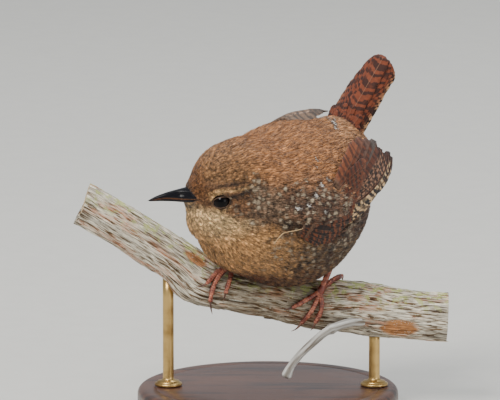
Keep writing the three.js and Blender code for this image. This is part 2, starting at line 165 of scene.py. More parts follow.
def curve(rows: Sequence[Sequence[float]], at: Array) -> Array:
    """A smooth curve through rows of [position, value, ...], read at the given positions.

    Args:
        rows: The rows, by rising position.
        at: The positions.

    Returns:
        The values, one column for each value of a row, or flat where a row has one value.
    """
    table = np.array(rows, float)
    x, y = table[:, 0], table[:, 1:]
    slope = np.gradient(y, x, axis=0)
    at = np.clip(np.asarray(at, float), x[0], x[-1])
    index = np.clip(np.searchsorted(x, at, side="right") - 1, 0, len(x) - 2)
    gap = (x[index + 1] - x[index])[..., None]
    t = (at - x[index])[..., None] / gap
    value = (
        y[index] * (1 + 2 * t) * (1 - t) ** 2
        + y[index + 1] * t * t * (3 - 2 * t)
        + slope[index] * gap * t * (1 - t) ** 2
        - slope[index + 1] * gap * t * t * (1 - t)
    )
    return value[..., 0] if y.shape[1] == 1 else value


def through(points: Sequence[Sequence[float]], count: int) -> Array:
    """Evenly read points of a smooth curve through a few given ones.

    Args:
        points: The given points.
        count: How many to read.

    Returns:
        One point a row.
    """
    given = np.array(points, float)
    steps = np.r_[0, np.cumsum(np.linalg.norm(np.diff(given, axis=0), axis=1))]
    return curve(np.c_[steps / steps[-1], given], np.linspace(0, 1, count))


def even_directions(count: int) -> Array:
    """Unit vectors spread evenly over a sphere.

    Args:
        count: How many.

    Returns:
        One vector a row.
    """
    index = np.arange(count) + 0.5
    height = 1 - 2 * index / count
    turn = math.pi * (1 + math.sqrt(5)) * index
    ring = np.sqrt(1 - height**2)
    return np.c_[ring * np.cos(turn), ring * np.sin(turn), height]


def ring_turns(count: int) -> Array:
    """Evenly spread turns of a full circle, in radians."""
    return np.linspace(0, FULL_TURN, count, endpoint=False)


def middle_mm(node: str) -> Array:
    """Middle of a CAD node's box, in millimetres."""
    low, high = (np.array(corner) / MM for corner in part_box(node))
    return (low + high) / 2


# The bird's axes and its flesh


@dataclass(frozen=True)
class Axes:
    """A place with forward, left and up directions as the rows of a matrix."""

    origin: Array
    rows: Array

    def out(self, local: Array) -> Array:
        """Frame places of local ones."""
        return np.asarray(local, float) @ self.rows + self.origin

    def turn(self, local: Array) -> Array:
        """Frame directions of local ones."""
        return np.asarray(local, float) @ self.rows

    def into(self, places: Array) -> Array:
        """Local places of frame ones."""
        return (np.asarray(places, float) - self.origin) @ self.rows.T


EYE_AHEAD, EYE_ASIDE, EYE_BELOW, EYE_RADIUS = 2.8, 6.1, 2.1, 2.6
BODY_HEADING, BODY_ROLL, BODY_PITCH = math.radians(38), math.radians(10), math.radians(18)
BODY_MIDDLE = np.array([4.9, -6.0, 63.0])
UP = np.array([0.0, 0.0, 1.0])


def name_of(side: int) -> str:
    """Left or right."""
    return next(name for name, sign in SIDES.items() if sign == side)


def head_axes() -> Axes:
    """The head's axes, from the two eyes.

    Returns:
        The axes.
    """
    left_eye, right_eye = middle_mm("eye_left"), middle_mm("eye_right")
    left = unit(left_eye - right_eye)
    forward = np.cross(left, UP)
    middle = (left_eye + right_eye) / 2
    return Axes(middle - forward * EYE_AHEAD + UP * EYE_BELOW, np.array([forward, left, UP]))


def body_axes() -> Axes:
    """The body's axes, from its heading and roll.

    Returns:
        The axes.
    """
    forward = np.array([-math.cos(BODY_HEADING), -math.sin(BODY_HEADING), 0])
    level = np.array([math.sin(BODY_HEADING), -math.cos(BODY_HEADING), 0])
    left = level * math.cos(BODY_ROLL) - UP * math.sin(BODY_ROLL)
    up = UP * math.cos(BODY_ROLL) + level * math.sin(BODY_ROLL)
    return Axes(BODY_MIDDLE, np.array([forward, left, up]))


HEAD = head_axes()
TORSO = body_axes()
HEAD_BALL = (np.array([0.6, 0.0, 0.4]), 14.0)


@dataclass(frozen=True)
class Lobe:
    """One rounded mass of flesh."""

    axes: Axes
    centre: Triple
    half: Triple
    pitch: float = 0.0

    def distance(self, at: Array) -> Array:
        """How far places lie outside the lobe, about.

        Args:
            at: Places in the frame.

        Returns:
            Millimetres, below zero inside.
        """
        local = self.axes.into(at) - np.array(self.centre)
        cos, sin = math.cos(self.pitch), math.sin(self.pitch)
        x = (cos * local[..., 0] - sin * local[..., 2]) / self.half[0]
        y = local[..., 1] / self.half[1]
        z = (sin * local[..., 0] + cos * local[..., 2]) / self.half[2]
        reach = np.sqrt(x * x + y * y + z * z)
        steep = np.sqrt((x / self.half[0]) ** 2 + (y / self.half[1]) ** 2 + (z / self.half[2]) ** 2)
        return reach * (reach - 1) / (steep + EPS)


@dataclass(frozen=True)
class Flesh:
    """Lobes that melt into one another. Its surface is where the tips of the feathers lie."""

    melt: float = 2.6
    probe: float = 0.15
    stride: float = 4.0
    march: Pair = (48.0, 1.5)

    def lobes(self) -> list[Lobe]:
        """The masses of body and head.

        Returns:
            The lobes.
        """
        single = [
            Lobe(TORSO, (-1.2, 0, 0), (24.8, 22.4, 22.9), BODY_PITCH),
            Lobe(TORSO, (13, 0, -7), (14.5, 15.8, 13.4)),
            Lobe(TORSO, (0, 0, -7.2), (20, 20, 18)),
            Lobe(TORSO, (-18.5, 0, 13), (13, 9, 8.5), -0.75),
            Lobe(TORSO, (-17.4, 0, -5), (9.6, 9, 9)),
            Lobe(HEAD, (-1.5, 0, 1.6), (12.4, 8.7, 11.4)),
            Lobe(HEAD, (1.2, 0, 4.8), (6.6, 5.6, 8.3)),
            Lobe(HEAD, (-4.5, -3, 5.2), (9, 8, 9.2)),
            Lobe(HEAD, (7.6, 0, -1.4), (6, 4.2, 4.4), 0.12),
            Lobe(HEAD, (3.1, 0, -8.2), (8.7, 7, 7.7)),
            Lobe(HEAD, (-9.4, 0, 3.6), (13, 10, 10), -0.5),
            Lobe(HEAD, (-7.5, -5.5, 6), (8, 8.5, 8.0)),
        ]
        cheeks = [Lobe(HEAD, (-4, side * 3.9, -5), (8, 5, 6.5)) for side in (1, -1)]
        brows = [Lobe(HEAD, (0.5, side * 7.1, 1.4), (6.5, 1.4, 1.2), -0.08) for side in (1, -1)]
        return single + cheeks + brows

    def distance(self, at: Array) -> Array:
        """How far places lie outside the flesh, about, in millimetres.

        Args:
            at: Places in the frame.

        Returns:
            Millimetres, below zero inside.
        """
        total = np.full(at.shape[:-1], 1e3)
        for each in self.lobes():
            other = each.distance(at)
            share = np.maximum(self.melt - np.abs(total - other), 0) / self.melt
            total = np.minimum(total, other) - share * share * self.melt / 4
        return total

    def slope(self, at: Array) -> tuple[Array, Array]:
        """Distance and its slope at places.

        Args:
            at: Places in the frame.

        Returns:
            The distance, and how fast it grows along each axis.
        """
        here = self.distance(at)
        steps = np.eye(3) * self.probe
        slope = np.stack([(self.distance(at + step) - here) / self.probe for step in steps], -1)
        return here, slope

    def settle(self, at: Array, level: Array, rounds: int = 2) -> tuple[Array, Array]:
        """Moves places straight in or out to a distance from the surface.

        Args:
            at: The places.
            level: The wanted distance outside the surface, one a place.
            rounds: How often the move is refined.

        Returns:
            The moved places and the outward directions there.
        """
        for _ in range(rounds):
            here, slope = self.slope(at)
            steep = np.sum(slope * slope, -1) + EPS
            at = at + slope * np.clip((level - here) / steep, -self.stride, self.stride)[..., None]
        return at, unit(slope)

    def leave(self, centre: Array, directions: Array, level: float = 0.0) -> Array:
        """Where rays from a place inside last leave the flesh.

        Args:
            centre: The place inside.
            directions: Unit directions of the rays.
            level: The distance outside the surface that counts as leaving.

        Returns:
            One place for each ray.
        """
        far, step = self.march
        outer = np.full(len(directions), far)
        waiting = np.ones(len(directions), bool)
        while waiting.any():
            at = centre + directions[waiting] * (outer[waiting] - step)[:, None]
            inside = (self.distance(at) < level) | (outer[waiting] < 2 * step)
            index = np.flatnonzero(waiting)
            outer[index[~inside]] -= step
            waiting[index[inside]] = False
        low, high = outer - step, outer
        for _ in range(7):
            half = (low + high) / 2
            inside = self.distance(centre + directions * half[:, None]) < level
            low, high = np.where(inside, half, low), np.where(inside, high, half)
        return centre + directions * low[:, None]


FLESH = Flesh()


def eye_centre(side: int) -> Array:
    """Middle of one eye."""
    return HEAD.out([EYE_AHEAD, side * EYE_ASIDE, -EYE_BELOW])


def eye_axis(side: int) -> Array:
    """The way that one eye looks."""
    return unit(HEAD.turn([0.18, side, 0.06]))


def from_eye(places: Array, side: int) -> tuple[Array, Array, Array]:
    """Takes places apart along and across the way that one eye looks.

    Args:
        places: Places in the frame.
        side: The eye's side.

    Returns:
        How far out each lies, the rest of its way from the eye's middle, and that rest's length.
    """
    off, axis = places - eye_centre(side), eye_axis(side)
    out = dot(off, axis)
    flat = off - out * axis
    return out, flat, np.linalg.norm(flat, axis=1, keepdims=True)


def on_head(places: Array) -> Array:
    """How far places lie outside the ball that parts head from body."""
    return np.linalg.norm(HEAD.into(places) - HEAD_BALL[0], axis=1) - HEAD_BALL[1]


# Meshes


@dataclass
class Surface:
    """Points, faces and values of one mesh, in millimetres.

    faces holds one array for each number of corners. values are named triples for each point, and bake is the
    place of each point on the piece's own unwrap.
    """

    points: Array
    faces: list[Array]
    values: dict[str, Array] = field(default_factory=dict)
    bake: Array | None = None

    @staticmethod
    def joined(parts: Sequence[Surface]) -> Surface:
        """One surface of several that have the same values.

        Args:
            parts: The surfaces.

        Returns:
            The joined surface.
        """
        faces: dict[int, list[Array]] = {}
        start = 0
        for part in parts:
            for group in part.faces:
                faces.setdefault(group.shape[1], []).append(group + start)
            start += len(part.points)
        names = parts[0].values
        return Surface(
            np.concatenate([part.points for part in parts]),
            [np.concatenate(groups) for groups in faces.values()],
            {name: np.concatenate([part.values[name] for part in parts]) for name in names},
            None if parts[0].bake is None else np.concatenate([part.bake for part in parts]),
        )

    def volume(self) -> float:
        """Six times the enclosed volume, above zero where the faces point outwards.

        Returns:
            Cubic millimetres.
        """
        centred = self.points - self.points.mean(0)
        total = 0.0
        for group in self.faces:
            first = centred[group[:, 0]]
            for corner in range(1, group.shape[1] - 1):
                second, third = centred[group[:, corner]], centred[group[:, corner + 1]]
                total += float(np.sum(first * np.cross(second, third)))
        return total

    def outward(self) -> Surface:
        """The same surface with its faces pointing outwards.

        Returns:
            The surface itself.
        """
        if self.volume() < 0:
            self.faces = [group[:, ::-1] for group in self.faces]
        return self

    def triangles(self) -> int:
        """How many triangles the faces make."""
        return sum(len(group) * (group.shape[1] - 2) for group in self.faces)

    def mesh(self, name: str) -> bpy.types.Mesh:
        """Blender's mesh of the surface, in metres.

        Args:
            name: The mesh's name.

        Returns:
            The mesh.
        """
        made = bpy.data.meshes.new(name)
        corners = np.concatenate([group.ravel() for group in self.faces]).astype(np.int32)
        sizes = np.concatenate([np.full(len(group), group.shape[1]) for group in self.faces])
        made.vertices.add(len(self.points))
        made.vertices.foreach_set("co", (self.points * MM).astype(np.float32).ravel())
        made.loops.add(len(corners))
        made.loops.foreach_set("vertex_index", corners)
        made.polygons.add(len(sizes))
        made.polygons.foreach_set("loop_start", np.r_[0, np.cumsum(sizes)[:-1]].astype(np.int32))
        made.update(calc_edges=True)
        made.polygons.foreach_set("use_smooth", np.ones(len(sizes), bool))
        for key, values in self.values.items():
            store(made, key, values)
        if self.bake is not None:
            unwrap = made.uv_layers.new(name="OFBake")
            unwrap.data.foreach_set("uv", self.bake[corners].astype(np.float32).ravel())
        made.validate()
        return made


def store(mesh: bpy.types.Mesh, name: str, values: Array) -> None:
    """Gives a mesh a named number or triple for each point."""
    kind, slot = ("FLOAT", "value") if values.ndim == 1 else ("FLOAT_VECTOR", "vector")
    mesh.attributes.new(name, kind, "POINT").data.foreach_set(slot, values.astype(np.float32).ravel())


def read(items: Sequence[object], key: str, kind: type, width: int = 3) -> Array:
    """Reads one value of each of a mesh's points or loops.

    Args:
        items: The points or loops.
        key: The value's name.
        kind: Its type in Blender.
        width: Numbers for each item.

    Returns:
        One row for each item.
    """
    flat = np.empty(len(items) * width, kind)
    items.foreach_get(key, flat)
    return flat.reshape(-1, width)


def placed(name: str, data: bpy.types.ID) -> bpy.types.Object:
    """Puts data into the scene.

    Args:
        name: The object's name.
        data: Its mesh, lamp or camera.

    Returns:
        The object.
    """
    made = bpy.data.objects.new(name, data)
    bpy.context.scene.collection.objects.link(made)
    return made


def taken_from(carrier: bpy.types.Object) -> bpy.types.Mesh:
    """Makes a plain mesh of what an object's modifiers give, and removes them and the object.

    Args:
        carrier: The object.

    Returns:
        The mesh.
    """
    made = bpy.data.meshes.new_from_object(carrier.evaluated_get(bpy.context.evaluated_depsgraph_get()))
    carrier.modifiers.clear()
    bpy.data.objects.remove(carrier)
    return made


def piece(
    name: str, made: Surface | bpy.types.Mesh, material: Material, nodes: Sequence[str] = ()
) -> bpy.types.Object:
    """Puts a mesh into the scene as a piece that rides on the one body.

    Args:
        name: The piece's name.
        made: Its surface or mesh.
        material: Its finish.
        nodes: The CAD nodes that it stands for.

    Returns:
        The piece.
    """
    mesh = made.mesh(name) if isinstance(made, Surface) else made
    mesh.name = name
    mesh.materials.clear()
    mesh.materials.append(material)
    mesh.polygons.foreach_set("material_index", np.zeros(len(mesh.polygons), np.int32))
    shown = placed(name, mesh)
    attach(shown, BODY)
    if nodes:
        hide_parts(*nodes)
    mesh.calc_loop_triangles()
    LOG.info("%s: %d triangles", name, len(mesh.loop_triangles))
    return shown


def grid_faces(rows: int, columns: int, start: int = 0, wrap: bool = False) -> Array:
    """Four-cornered faces of a grid of points, read row by row.

    Args:
        rows: Number of rows.
        columns: Points in a row.
        start: Index of the first point.
        wrap: Whether each row closes on itself.

    Returns:
        The faces.
    """
    row = np.arange(rows - 1)[:, None]
    column = np.arange(columns if wrap else columns - 1)[None, :]
    beside = (column + 1) % columns
    corners = [row * columns + column, row * columns + beside]
    corners += [(row + 1) * columns + beside, (row + 1) * columns + column]
    return np.stack(corners, -1).reshape(-1, 4) + start


def ring_tube(rings: Array, values: dict[str, Array] | None = None) -> Surface:
    """A skin over rings of equally many points, closed at both ends.

    Args:
        rings: Points, ring by ring.
        values: Named triples for each point of each ring.

    Returns:
        The closed surface.
    """
    count, sides = rings.shape[:2]
    points = rings.reshape(-1, 3)
    ends = np.array([rings[0].mean(0), rings[-1].mean(0)])
    beside = np.roll(np.arange(sides), -1)
    first = np.stack([np.full(sides, len(points)), beside, np.arange(sides)], -1)
    last_ring = (count - 1) * sides
    last = np.stack([np.full(sides, len(points) + 1), np.arange(sides) + last_ring, beside + last_ring], -1)
    stored = {}
    for name, triples in (values or {}).items():
        stored[name] = np.concatenate([triples.reshape(-1, 3), triples[0].mean(0)[None], triples[-1].mean(0)[None]])
    faces = [grid_faces(count, sides, wrap=True), np.concatenate([first, last])]
    return Surface(np.concatenate([points, ends]), faces, stored).outward()


def frames_along(route: Array, hint: Array) -> tuple[Array, Array, Array]:
    """Directions along a route, away from it as hint asks, and across both.

    Args:
        route: Points of the route.
        hint: The wanted direction away from it, one for all or one a point.

    Returns:
        The three directions at each point.
    """
    along = unit(np.gradient(route, axis=0))
    away = unit(hint - dot(hint, along) * along)
    return along, away, np.cross(along, away)


def tube(route: Array, hint: Array, radii: Array, sides: int) -> Surface:
    """A round tube along a route.

    Args:
        route: Points of its middle line.
        hint: The direction from which turns are counted, one for all or one a point.
        radii: Radius for each point of the route, or for each point and each side.
        sides: Points round it.

    Returns:
        The closed tube, with grain, which holds distance along it and its own cross coordinates.
    """
    hint = np.broadcast_to(hint, route.shape)
    _, away, across = frames_along(route, hint)
    turns = ring_turns(sides)
    reach = np.broadcast_to(radii if np.ndim(radii) == 2 else np.asarray(radii)[:, None], (len(route), sides))
    high, wide = reach * np.cos(turns), reach * np.sin(turns)
    rings = route[:, None] + away[:, None] * high[..., None] + across[:, None] * wide[..., None]
    length = np.r_[0, np.cumsum(np.linalg.norm(np.diff(route, axis=0), axis=1))]
    grain = np.stack([np.broadcast_to(length[:, None], high.shape), high, wide], -1)
    return ring_tube(rings, {"grain": grain})


# Materials


class Tone(Enum):
    """Colours of the plumage, as shown on a display, 0 to 255 a channel."""

    CROWN = (150, 109, 70)
    FOREHEAD = (124, 80, 44)
    BACK = (178, 120, 72)
    RUMP = (198, 142, 94)
    MANTLE = (124, 94, 72)
    NECK = (142, 114, 90)
    CHEEK = (126, 88, 58)
    THROAT = (240, 204, 150)
    BREAST = (200, 150, 96)
    FLANK = (78, 48, 32)
    BELLY = (108, 60, 30)
    COVERT = (84, 50, 34)
    BUFF = (214, 172, 116)
    DARK = (40, 26, 18)
    PALE = (212, 192, 162)
    WHITE = (240, 234, 224)

    @property
    def light(self) -> Array:
        """The colour as linear light."""
        return linear(*self.value)


class Tree:
    """A node tree under construction."""

    def __init__(self, tree: bpy.types.NodeTree) -> None:
        """Takes the tree over."""
        self.tree = tree

    def node(self, kind: str, inputs: dict[str | int, object], **settings: object) -> bpy.types.Node:
        """Adds a node.

        Args:
            kind: Its type's name.
            inputs: Values or sockets by the input's name or number.
            settings: Values of the node's own properties.

        Returns:
            The node.
        """
        made = self.tree.nodes.new(kind)
        for name, value in settings.items():
            setattr(made, name, value)
        for key, value in inputs.items():
            if isinstance(value, Socket):
                self.tree.links.new(value, made.inputs[key])
            else:
                made.inputs[key].default_value = value
        return made

    def math(self, work: str, *terms: object) -> Socket:
        """Arithmetic on numbers."""
        return self.node("ShaderNodeMath", dict(enumerate(terms)), operation=work).outputs[0]

    def times(self, a: object, b: object) -> Socket:
        """The product of two numbers."""
        return self.math("MULTIPLY", a, b)

    def scaled(self, value: object, gain: object, base: object) -> Socket:
        """A number times gain, with base added."""
        return self.math("MULTIPLY_ADD", value, gain, base)

    def vector(self, work: str, *terms: object) -> Socket:
        """Arithmetic on vectors. A dot product and a distance come out as a number."""
        made = self.node("ShaderNodeVectorMath", dict(enumerate(terms)), operation=work)
        return made.outputs["Value" if work in ("DOT_PRODUCT", "DISTANCE") else "Vector"]

    def combined(self, *numbers: object) -> Socket:
        """A vector of up to three numbers."""
        return self.node("ShaderNodeCombineXYZ", dict(enumerate(numbers))).outputs[0]


class Shade(Tree):
    """Builds the node tree of one material."""

    def __init__(self, name: str) -> None:
        """Starts an empty material.

        Args:
            name: Its name.
        """
        self.material = bpy.data.materials.new(name)
        self.material.use_nodes = True
        super().__init__(self.material.node_tree)
        self.tree.nodes.clear()

    def place(self) -> Socket:
        """Object coordinates."""
        return self.node("ShaderNodeTexCoord", {}).outputs["Object"]

    def value(self, name: str) -> Socket:
        """A named triple of the mesh."""
        return self.node("ShaderNodeAttribute", {}, attribute_name=name).outputs["Vector"]

    def stretched(self, vector: Socket, *scale: float) -> Socket:
        """Coordinates scaled differently along each axis."""
        return self.node("ShaderNodeMapping", {"Vector": vector, "Scale": scale}).outputs["Vector"]

    def parts(self, vector: Socket) -> tuple[Socket, ...]:
        """The three numbers of a vector."""
        return tuple(self.node("ShaderNodeSeparateXYZ", {"Vector": vector}).outputs)

    def noise(self, vector: Socket, scale: float, detail: float = 3.0, distortion: float = 0.0) -> Socket:
        """Noise from 0 to 1."""
        inputs = {"Vector": vector, "Scale": scale, "Detail": detail, "Distortion": distortion}
        return self.node("ShaderNodeTexNoise", inputs).outputs["Fac"]

    def warped(self, vector: Socket, scale: float, reach: float) -> Socket:
        """Pushes coordinates about by noise.

        Args:
            vector: The coordinates.
            scale: Features of the noise in a unit of length.
            reach: Twice the largest push.

        Returns:
            The new coordinates.
        """
        push = self.node("ShaderNodeTexNoise", {"Vector": vector, "Scale": scale, "Detail": 2.0}).outputs["Color"]
        even = self.vector("SUBTRACT", push, (0.5,) * 3)
        return self.vector("MULTIPLY_ADD", even, (reach,) * 3, vector)

    def seen_from_side(self, place: Socket) -> Socket:
        """Brings places onto the body's axes, the same on both sides.

        Args:
            place: Object coordinates.

        Returns:
            Millimetres forward and up.
        """
        off = self.vector("SUBTRACT", place, tuple(TORSO.origin * MM))
        return self.combined(*(self.vector("DOT_PRODUCT", off, tuple(TORSO.rows[axis] / MM)) for axis in (0, 2)))

    def scatter(self, vector: Socket, scale: float) -> tuple[Socket, Socket]:
        """Distance to the nearest of many scattered places, and its random number."""
        made = self.node("ShaderNodeTexVoronoi", {"Vector": vector, "Scale": scale})
        return made.outputs["Distance"], self.parts(made.outputs["Color"])[0]

    def step(self, value: Socket, low: float, high: float) -> Socket:
        """Makes a number rise smoothly from 0 to 1.

        Args:
            value: The number.
            low: Where it gives 0.
            high: Where it gives 1, above or below low.

        Returns:
            The share.
        """
        flipped = low > high
        inputs = {"Value": value, "From Min": min(low, high), "From Max": max(low, high)}
        inputs |= {"To Min": float(flipped), "To Max": float(not flipped)}
        return self.node("ShaderNodeMapRange", inputs, interpolation_type="SMOOTHSTEP").outputs["Result"]

    def blend(self, share: object, a: object, b: object, mode: str = "MIX") -> Socket:
        """Mixes two colours, each a socket or three linear numbers.

        Args:
            share: How much of the second.
            a: The first.
            b: The second.
            mode: How they mix.

        Returns:
            The colour.
        """
        a, b = (value if isinstance(value, Socket) else (*value, 1.0) for value in (a, b))
        made = self.node("ShaderNodeMix", {0: share, 6: a, 7: b}, data_type="RGBA", blend_type=mode)
        return made.outputs[2]

    def dyed(self, color: object, tint: object, share: Socket, strength: float = 1.0) -> Socket:
        """A colour with a tint over it, as strong as share times strength."""
        return self.blend(share if strength == 1.0 else self.times(share, strength), color, tint)

    def lit(self, color: object, light: Socket) -> Socket:
        """A colour times a number."""
        return self.blend(1.0, color, self.combined(light, light, light), "MULTIPLY")

    def bump(self, height: Socket, distance: float) -> Socket:
        """A normal for a height from 0 to 1 that is distance metres deep."""
        return self.node("ShaderNodeBump", {"Height": height, "Distance": distance, "Strength": 1.0}).outputs["Normal"]

    def finish(self, color: object, roughness: object, normal: object = None, **fixed: float) -> Material:
        """Ends the tree in a surface.

        Args:
            color: Base colour, a socket or three linear numbers.
            roughness: A number or a socket.
            normal: A socket, if the surface has relief.
            fixed: The shader's other inputs, with underscores for spaces.

        Returns:
            The material.
        """
        base = color if isinstance(color, Socket) else (*color, 1.0)
        inputs = {"Base Color": base, "Roughness": roughness}
        if normal is not None:
            inputs["Normal"] = normal
        inputs |= {name.replace("_", " "): value for name, value in fixed.items()}
        shader = self.node("ShaderNodeBsdfPrincipled", inputs)
        self.node("ShaderNodeOutputMaterial", {"Surface": shader.outputs[0]})
        return self.material


@dataclass(frozen=True)
class PlumageFinish:
    """Soft body feathers: the colour of each point with fine barbs, grains, pale spots and dark specks over it.

    flecks holds forward, up and size of each white fleck, in millimetres, on both sides of the body. grains,
    spots, clouds, stir and side_stir are counts in a metre, and warp is a distance in metres.
    """

    name: str = "body_plumage"
    barb_depth: float = 0.00004
    mottle: float = 0.36
    flecks: tuple[Triple, ...] = (
        (3.3, 11.2, 0.75), (0.8, 12.4, 0.55), (5.6, 8.6, 0.7), (8.2, 6.1, 0.7), (11, 4.9, 0.6), (4.1, 4.4, 0.8),
        (-2, 10, 0.4), (-2.1, 5.9, 0.4), (3, 15.5, 0.35), (2, 17.4, 0.4), (-12.8, 23, 0.6), (-13.6, 23.8, 0.4),
        (-12.2, 22, 0.5), (7.2, -2, 0.4), (-3, 2.2, 0.35), (9.4, 9.6, 0.35),
    )
    grains: float = 1150.0
    spots: float = 640.0
    clouds: float = 500.0
    stir: float = 1500.0
    side_stir: float = 800.0
    warp: float = 0.0013

    def material(self) -> Material:
        """Builds it.

        Returns:
            The material.
        """
        shade = Shade(self.name)
        barb, straight = shade.value("barb"), shade.place()
        chance = shade.parts(barb)[2]
        spotted, grained, specked = shade.parts(shade.value("marks"))
        place = shade.warped(straight, self.stir, self.warp)
        streaks = shade.noise(shade.stretched(barb, 1.1, 1.6, 60.0), 1.0)
        near, pick = shade.scatter(place, self.grains)
        dab = shade.scaled(shade.step(near, 0.8, 0.1), 1.1, -0.5)
        dab = shade.scaled(shade.math("SUBTRACT", pick, 0.5), 1.1, dab)
        light = shade.scaled(streaks, 2 * self.mottle, 1 - self.mottle)
        clouds = shade.scaled(shade.noise(straight, self.clouds, 4.0), 1.3, 0.35)
        for gain in (clouds, shade.scaled(chance, 0.36, 0.82), shade.scaled(dab, grained, 1.0)):
            light = shade.times(light, gain)
        color = shade.lit(shade.value("plumage"), light)
        off, pick = shade.scatter(place, self.spots)
        chosen = shade.math("MAXIMUM", shade.math("SUBTRACT", spotted, pick), 0.0)
        chosen = shade.math("MINIMUM", shade.times(chosen, 4.0), 1.0)
        color = shade.dyed(color, Tone.DARK.light, shade.times(chosen, shade.step(off, 0.85, 0.5)), 0.5)
        color = shade.dyed(color, Tone.PALE.light, shade.times(chosen, shade.step(off, 0.62, 0.12)), 0.8)
        side = shade.seen_from_side(shade.warped(place, self.side_stir, 1.4 * self.warp))
        for forward, up, size in self.flecks:
            away = shade.vector("DISTANCE", side, (forward, up, 0.0))
            color = shade.dyed(color, Tone.DARK.light, shade.step(away, 2.0 * size, size), 0.6)
            color = shade.dyed(color, Tone.WHITE.light, shade.step(away, 0.9 * size, 0.2 * size), 0.85)
        speck = shade.times(shade.math("LESS_THAN", pick, specked), shade.step(off, 0.2, 0.1))
        color = shade.dyed(color, Tone.DARK.light, speck, 0.8)
        rough, relief = shade.scaled(chance, 0.12, 0.66), shade.bump(streaks, self.barb_depth)
        return shade.finish(color, rough, relief, Specular_IOR_Level=0.25, Sheen_Weight=0.1, Sheen_Roughness=0.5)


@dataclass(frozen=True)
class VaneFinish:
    """Firm flight feathers: two colours in bars across the web, a shaft and fine barbs.

    period is that of the bars in millimetres, and chevron their slant. ragged and wobble say how uneven they are.
    """

    name: str
    period: float
    chevron: float
    shaft: Triple
    shaft_width: float = 0.05
    ragged: float = 0.8
    wobble: float = 1.5
    barbs: float = 30.0
    barb_depth: float = 0.00005

    def material(self) -> Material:
        """Builds it.

        Returns:
            The material.
        """
        shade = Shade(self.name)
        web, place = shade.value("web"), shade.place()
        aside, along, chance = shade.parts(web)
        out = shade.math("ABSOLUTE", aside)
        phase = shade.scaled(out, -self.chevron, shade.math("DIVIDE", along, self.period))
        phase = shade.scaled(shade.noise(shade.stretched(web, 2.2, 0.9, 7.0), 1.3), self.ragged, phase)
        phase = shade.math("ADD", phase, chance)
        phase = shade.scaled(shade.noise(shade.stretched(web, 0.2, 0.35, 9.0), 1.0, 2.0), self.wobble, phase)
        edge = shade.parts(shade.value("bars"))[0]
        cycle = shade.math("SUBTRACT", shade.math("SINE", shade.times(phase, FULL_TURN)), edge)
        worn = shade.scaled(shade.step(shade.noise(place, 420.0), 0.3, 0.5), 0.4, 0.6)
        color = shade.dyed(shade.value("ground"), shade.value("mark"), shade.times(shade.step(cycle, -0.3, 0.3), worn))
        lines = shade.math("SINE", shade.times(shade.scaled(out, 1.5, along), self.barbs))
        wander = shade.noise(place, 1100.0)
        color = shade.lit(color, shade.math("ADD", shade.scaled(lines, 0.09, 0.5), wander))
        quill = shade.step(out, self.shaft_width, self.shaft_width / 2)
        color = shade.dyed(color, self.shaft, quill)
        relief = shade.bump(shade.scaled(lines, 0.3, shade.times(wander, 0.4)), self.barb_depth)
        return shade.finish(color, shade.scaled(quill, -0.25, 0.6), relief, Specular_IOR_Level=0.3, Sheen_Weight=0.06)


@dataclass(frozen=True)
class HornFinish:
    """Dark glossy horn, brown along the cutting edge up to where fade ends, in millimetres ahead."""

    name: str = "bill_horn"
    dark: Triple = tone(14, 13, 19)
    edge: Triple = tone(112, 72, 46)
    fade: Pair = (22.6, 20.0)

    def material(self) -> Material:
        """Builds it.

        Returns:
            The material.
        """
        shade = Shade(self.name)
        horn = shade.value("horn")
        ahead, above, _ = shade.parts(horn)
        streaks = shade.noise(shade.stretched(horn, 0.35, 2.4, 2.4), 2.2, 4.0)
        off = shade.math("ADD", shade.math("ABSOLUTE", above), shade.times(streaks, 0.35))
        strip = shade.times(shade.step(off, 0.42, 0.2), shade.step(ahead, *self.fade))
        color = shade.lit(shade.dyed(self.dark, self.edge, strip), shade.scaled(streaks, 0.5, 0.75))
        rough, relief = shade.scaled(streaks, 0.15, 0.16), shade.bump(streaks, 0.00004)
        return shade.finish(color, rough, relief, Specular_IOR_Level=0.2)


@dataclass(frozen=True)
class EyeFinish:
    """A wet eye: black pupil in a very dark brown iris that lies between two distances from its middle."""

    name: str = "wet_eye"
    pupil: Triple = tone(5, 4, 5)
    iris: Triple = tone(22, 13, 9)
    inside: Pair = (1.0, 1.25)
    outside: Pair = (2.15, 1.85)

    def material(self) -> Material:
        """Builds it.

        Returns:
            The material.
        """
        shade = Shade(self.name)
        iris = shade.value("iris")
        off = shade.parts(iris)[0]
        ring = shade.times(shade.step(off, *self.inside), shade.step(off, *self.outside))
        ring = shade.times(ring, shade.noise(shade.stretched(iris, 0.6, 9.0, 1.0), 3.0))
        return shade.finish(shade.dyed(self.pupil, self.iris, ring), 0.04, Specular_IOR_Level=0.13)


@dataclass(frozen=True)
class BareSkinFinish:
    """Bare, finely beaded skin of the lids, with so many beads in a metre."""

    name: str = "lid_skin"
    pale: Triple = tone(96, 70, 50)
    dark: Triple = tone(40, 28, 22)
    beads: float = 3200.0

    def material(self) -> Material:
        """Builds it.

        Returns:
            The material.
        """
        shade = Shade(self.name)
        beads = shade.scatter(shade.place(), self.beads)[0]
        share = shade.step(shade.scaled(beads, 0.5, shade.parts(shade.value("rim"))[0]), 0.25, 1.0)
        color = shade.dyed(self.dark, self.pale, share)
        return shade.finish(color, 0.5, shade.bump(beads, 0.00005), Specular_IOR_Level=0.4)


